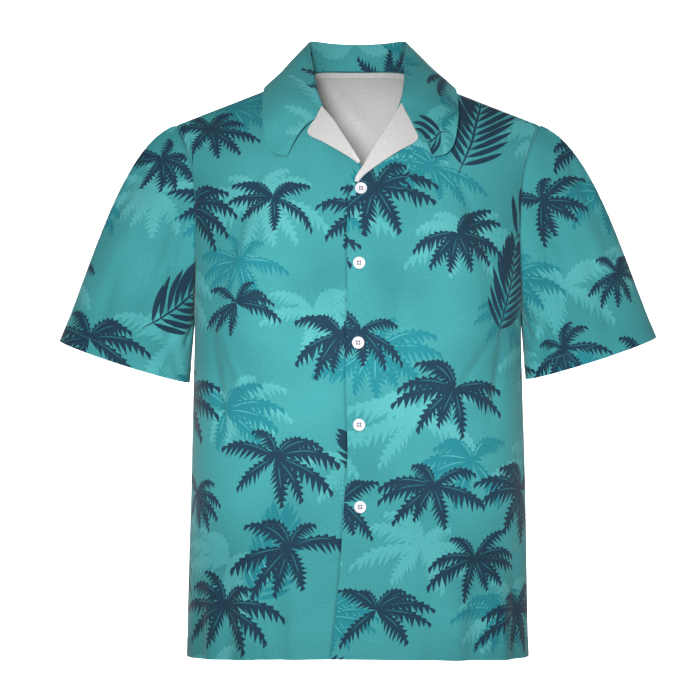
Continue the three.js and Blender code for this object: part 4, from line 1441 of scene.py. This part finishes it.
def plain_piece(name, surface, across, up, flip, thick, inks, nodes=()):
    """A small unprinted piece of cloth: inks are those of its outer side, inner side and rim."""
    flat = flatten(surface, 0.5, 0.0)
    cut = grid_cut(flat, across, up, inks[0])
    piece = shell(name, surface, cut, thick, no_raise, flip, inks[1], inks[2])
    finish_cloth(piece, nodes)


for hand, word in HANDS.items():
    across = np.linspace(0, 1, 61)
    up = stretches((0, FOLD_B, 1), (16, 10))
    plain_piece(f"cloth_lapel_{word}", sheets[f"lapel_{word}"], across, up, hand == LEFT,
                LAPEL_CLOTH, (INSIDE, GROUND, INSIDE), [f"lapel_{word}"])


def tape_surface(a, b):
    """The binding over the seam between the back and the collar, seen from inside."""
    x = TAPE_HALF * (2 * a - 1)
    z = column(BACK_NECK, 0, np.abs(x), 1) - 0.6 - TAPE_WIDTH * (1 - b)
    point, normal = body_surface(BACK, x, z, -CLOTH - 0.9)
    return point, -normal


plain_piece("cloth_tape", tape_surface, np.linspace(0, 1, 49), np.linspace(0, 1, 6), False,
            TAPE_CLOTH, (TAPE, TAPE, TAPE))


# Buttons and thread

def merge(name, parts, material, nodes=()):
    """One piece from several lists of points and faces."""
    verts, faces = [], []
    for part_verts, part_faces in parts:
        start = len(verts)
        verts += [tuple(v) for v in part_verts]
        faces += [tuple(start + i for i in f) for f in part_faces]
    mesh = bpy.data.meshes.new(name)
    mesh.from_pydata(verts, [], faces)
    mesh.polygons.foreach_set("use_smooth", [True] * len(faces))
    mesh.materials.append(material)
    piece = link_new(name, mesh)
    hand_over(piece, nodes)
    return piece


def ring_points(centre, radius, count):
    turn = np.arange(count) * 2 * math.pi / count
    return np.stack([centre[0] + radius * np.cos(turn), centre[1] + radius * np.sin(turn)], -1)


def button_mesh():
    """A round button with a raised rim, a dished middle and four holes, lying on z = 0."""
    radius, thick = BUTTON["radius"], BUTTON["thick"]
    away, hole = BUTTON["away"], BUTTON["hole"]
    round_off = 0.55
    rings = [ring_points((0, 0), radius - inward, 56)
             for inward in (0, 0.16, 0.5, 1.1, 1.5, 1.9, 2.4, 3.2)]
    holes = [ring_points((sx * away, sy * away), hole, 16) for sx in (1, -1) for sy in (1, -1)]
    points, edges = [], []
    for ring in rings + holes:
        edges += loop_edges(len(points), len(ring))
        points += [Vector(p) for p in ring]
    made = delaunay_2d_cdt(points, edges, [], 0, 1e-5)
    flat = np.array([tuple(v) for v in made[0]])
    faces = np.array(made[2])
    centres = flat[faces].mean(axis=1)
    open_here = np.zeros(len(faces), bool)
    for ring in holes:
        open_here |= inside_polygon(centres, ring)
    faces = faces[~open_here]
    area = doubled_areas(flat, faces)
    faces[area < 0] = faces[area < 0][:, ::-1]
    out = np.hypot(*flat.T)
    dish = BUTTON["dish"] * (1 - smooth((out - radius + 2.6) / 1.4))
    edge = np.clip((out - (radius - round_off)) / round_off, 0, 1)
    top = thick - dish - round_off * (1 - np.sqrt(1 - np.minimum(edge, 1) ** 2 * 0.98))
    low = 0.25 + 0.5 * edge**2
    count = len(flat)
    verts = np.concatenate([np.column_stack([flat, top]), np.column_stack([flat, low])])
    polygons = faces.tolist() + (faces[:, ::-1] + count).tolist()
    polygons += [(q, p, p + count, q + count) for p, q in rim_pairs(faces)]
    return verts, polygons


def strand(start, end, rise, radius, sides=7, steps=6):
    """A short arched length of thread between two points."""
    start, end = np.array(start, float), np.array(end, float)
    ahead = unit(end - start)
    side = unit(np.cross(ahead, [0, 0, 1.0]))
    verts, faces = [], []
    for i in range(steps + 1):
        t = i / steps
        centre = start + (end - start) * t
        centre[2] += rise * math.sin(math.pi * t) ** 0.5 if 0 < t < 1 else -0.5
        for k in range(sides):
            turn = 2 * math.pi * k / sides
            up = np.array([0, 0, 1.0])
            verts.append(centre + radius * (side * math.cos(turn) + up * math.sin(turn)))
    for i in range(steps):
        for k in range(sides):
            n = (k + 1) % sides
            faces.append((i * sides + k, (i + 1) * sides + k, (i + 1) * sides + n, i * sides + n))
    faces.append(tuple(range(sides)))
    faces.append(tuple(steps * sides + k for k in range(sides))[::-1])
    return np.array(verts), faces


def button_frame(x, z):
    """Where a button sits on the front: its middle and its two directions and outward one."""
    place_x, place_z = np.array([float(x)]), np.array([float(z)])
    point, _ = body_surface(FRONT, place_x, place_z, LAP_LIFT)
    out = body_normal(FRONT, place_x, place_z)[0]
    right = unit(np.cross(out, np.array([0, 0, 1.0])) * -1)
    up = np.cross(out, right) * -1
    if up[2] < 0:
        up = -up
    middle = point[0] + FORWARD + out * BUTTON_LIFT
    return middle, right, up, out


def placed(verts, seat):
    middle, right, up, out = seat
    return (middle + verts[:, :1] * right + verts[:, 1:2] * up + verts[:, 2:] * out) * MM


button_verts, button_faces = button_mesh()
for index, (x, z) in enumerate(BUTTONS, start=1):
    seat = button_frame(x, z)
    handed = np.linalg.det(np.array(seat[1:])) > 0
    turn_over = [f if handed else f[::-1] for f in map(tuple, button_faces)]
    disc = merge(f"resin_button_{index}", [(placed(button_verts, seat), turn_over)], RESIN,
                 [f"button_{index}"])
    for polygon in disc.data.polygons:
        polygon.use_smooth = abs(polygon.normal @ Vector(seat[3])) > 0.35
    away = BUTTON["away"]
    level = BUTTON["thick"] - BUTTON["dish"]
    spots = [(away, away), (-away, away), (-away, -away), (away, -away)]
    strands = []
    for (x0, y0), (x1, y1) in zip(spots, spots[1:] + spots[:1]):
        for shift in (-0.2, 0.2):
            off = np.array([shift, 0]) if x0 == x1 else np.array([0, shift])
            one, two = np.array([x0, y0]) + off, np.array([x1, y1]) + off
            verts, faces = strand((*one, level), (*two, level), 0.3, 0.26)
            strands.append((placed(verts, seat), faces))
    shank, shank_faces = strand((0, -0.9, -0.4), (0, 0.9, -0.4), 0.0, 0.9)
    strands.append((placed(shank, seat), shank_faces))
    merge(f"thread_button_{index}", strands, BUTTON_THREAD)


def stitch_row(name, surface, path, raise_of):
    """A row of straight stitches along a path of places on a sheet."""
    a, b = path.T
    point, normal = surface(a, b)
    point = point + normal * raise_of(a, b)[:, None]
    step = np.linalg.norm(np.diff(point, axis=0), axis=1)
    run = np.concatenate([[0], np.cumsum(step)])
    count = int(run[-1] / STITCH_PITCH)
    parts = []
    for k in range(count):
        ends = [STITCH_PITCH * k + 0.3, STITCH_PITCH * (k + 1) - 0.3]
        p, q = (np.array([np.interp(s, run, point[:, c]) for c in range(3)]) for s in ends)
        n = unit(np.array([np.interp(ends[0], run, normal[:, c]) for c in range(3)]))
        ahead = unit(q - p)
        side = np.cross(n, ahead)
        verts = []
        for t, size in ((0, 0.35), (0.25, 1.0), (0.75, 1.0), (1, 0.35)):
            centre = p + (q - p) * t + n * (0.05 + 0.1 * (size == 1.0))
            for turn in range(5):
                angle = 2 * math.pi * turn / 5
                verts.append((centre + size * STITCH_RADIUS * (
                    side * math.cos(angle) + n * math.sin(angle))) * MM)
        faces = [(i * 5 + j, (i + 1) * 5 + j, (i + 1) * 5 + (j + 1) % 5, i * 5 + (j + 1) % 5)
                 for i in range(3) for j in range(5)]
        faces += [tuple(range(5))[::-1], tuple(range(15, 20))]
        parts.append((verts, faces))
    merge(name, parts, SEAM_THREAD)


def hem_path(flat, distance):
    """Places along a sheet at one distance up from its hem, almost from end to end."""
    a = np.linspace(0.004, 0.996, 160)
    b_fine = np.linspace(0, 0.5, 400)
    b = []
    for value in a:
        up = bilinear(flat[1], np.full_like(b_fine, value), b_fine)
        b.append(np.interp(distance, up - up[0], b_fine))
    return np.stack([a, np.array(b)], -1)


for name in ("back", "front_left", "front_right", "sleeve_left", "sleeve_right"):
    flat = flats[name]
    stitch_row(f"stitches_{name}", sheets[name], hem_path(flat, HEM_DEPTH - 1.6),
               hem_raise(flat))


# Floor, light and camera

def studio():
    floor_z, wall_y, radius, half = -0.95, 4.6, 0.8, 6.0
    profile = [(-5.0, floor_z), (wall_y - radius, floor_z)]
    for k in range(1, 13):
        turn = math.pi / 2 * k / 12
        profile.append((wall_y - radius + radius * math.sin(turn),
                        floor_z + radius - radius * math.cos(turn)))
    profile.append((wall_y, 4.5))
    verts = [(x, y, z) for y, z in profile for x in (-half, half)]
    faces = [(2 * i, 2 * i + 1, 2 * i + 3, 2 * i + 2) for i in range(len(profile) - 1)]
    mesh = bpy.data.meshes.new("floor")
    mesh.from_pydata(verts, [], faces)
    mesh.polygons.foreach_set("use_smooth", [True] * len(faces))
    floor = link_new("floor", mesh)
    material, _, shader = new_material("floor")
    shader.inputs["Base Color"].default_value = (0.93, 0.93, 0.93, 1)
    shader.inputs["Roughness"].default_value = 0.9
    mesh.materials.append(material)

    # Name, kind, place, aim, opening in degrees or size in metres, watts
    lights = (
        ("key", "SPOT", (-0.4, -3.1, 0.05), (0, 0, -0.36), 25, 435),
        ("rake", "AREA", (1.9, -1.5, 0.8), (0, 0, -0.4), 0.4, 6),
        ("behind", "SPOT", (0.6, 2.9, 1.3), (0, 0, -0.36), 28, 260),
        ("backdrop", "SPOT", (0, 1.6, 3.2), (0, 3.4, -0.9), 86, 1700),
    )
    for name, kind, place, aim, size, energy in lights:
        light = bpy.data.lights.new(name, kind)
        light.energy = energy
        if kind == "AREA":
            light.size = size
        else:
            light.spot_size = math.radians(size)
            light.spot_blend = 1.0 if name == "key" else 0.3
            light.shadow_soft_size = 0.3
        lamp = link_new(name, light)
        lamp.location = place
        direction = Vector(aim) - Vector(place)
        lamp.rotation_euler = direction.to_track_quat("-Z", "Y").to_euler()
    world = bpy.data.worlds.new("studio")
    world.use_nodes = True
    background = world.node_tree.nodes["Background"]
    background.inputs["Color"].default_value = (0.96, 0.98, 1.0, 1)
    background.inputs["Strength"].default_value = 0.1
    bpy.context.scene.world = world
    bpy.context.scene.view_settings.view_transform = "Standard"

    lens = bpy.data.cameras.new("camera")
    lens.sensor_width = 36.0
    lens.lens = lens.sensor_width * CAMERA_DISTANCE / CAMERA_FIELD
    camera = link_new("camera", lens)
    camera.location = (CAMERA_X, -CAMERA_DISTANCE, CAMERA_Z)
    camera.rotation_euler = (math.pi / 2, 0, 0)
    bpy.context.scene.camera = camera


studio()
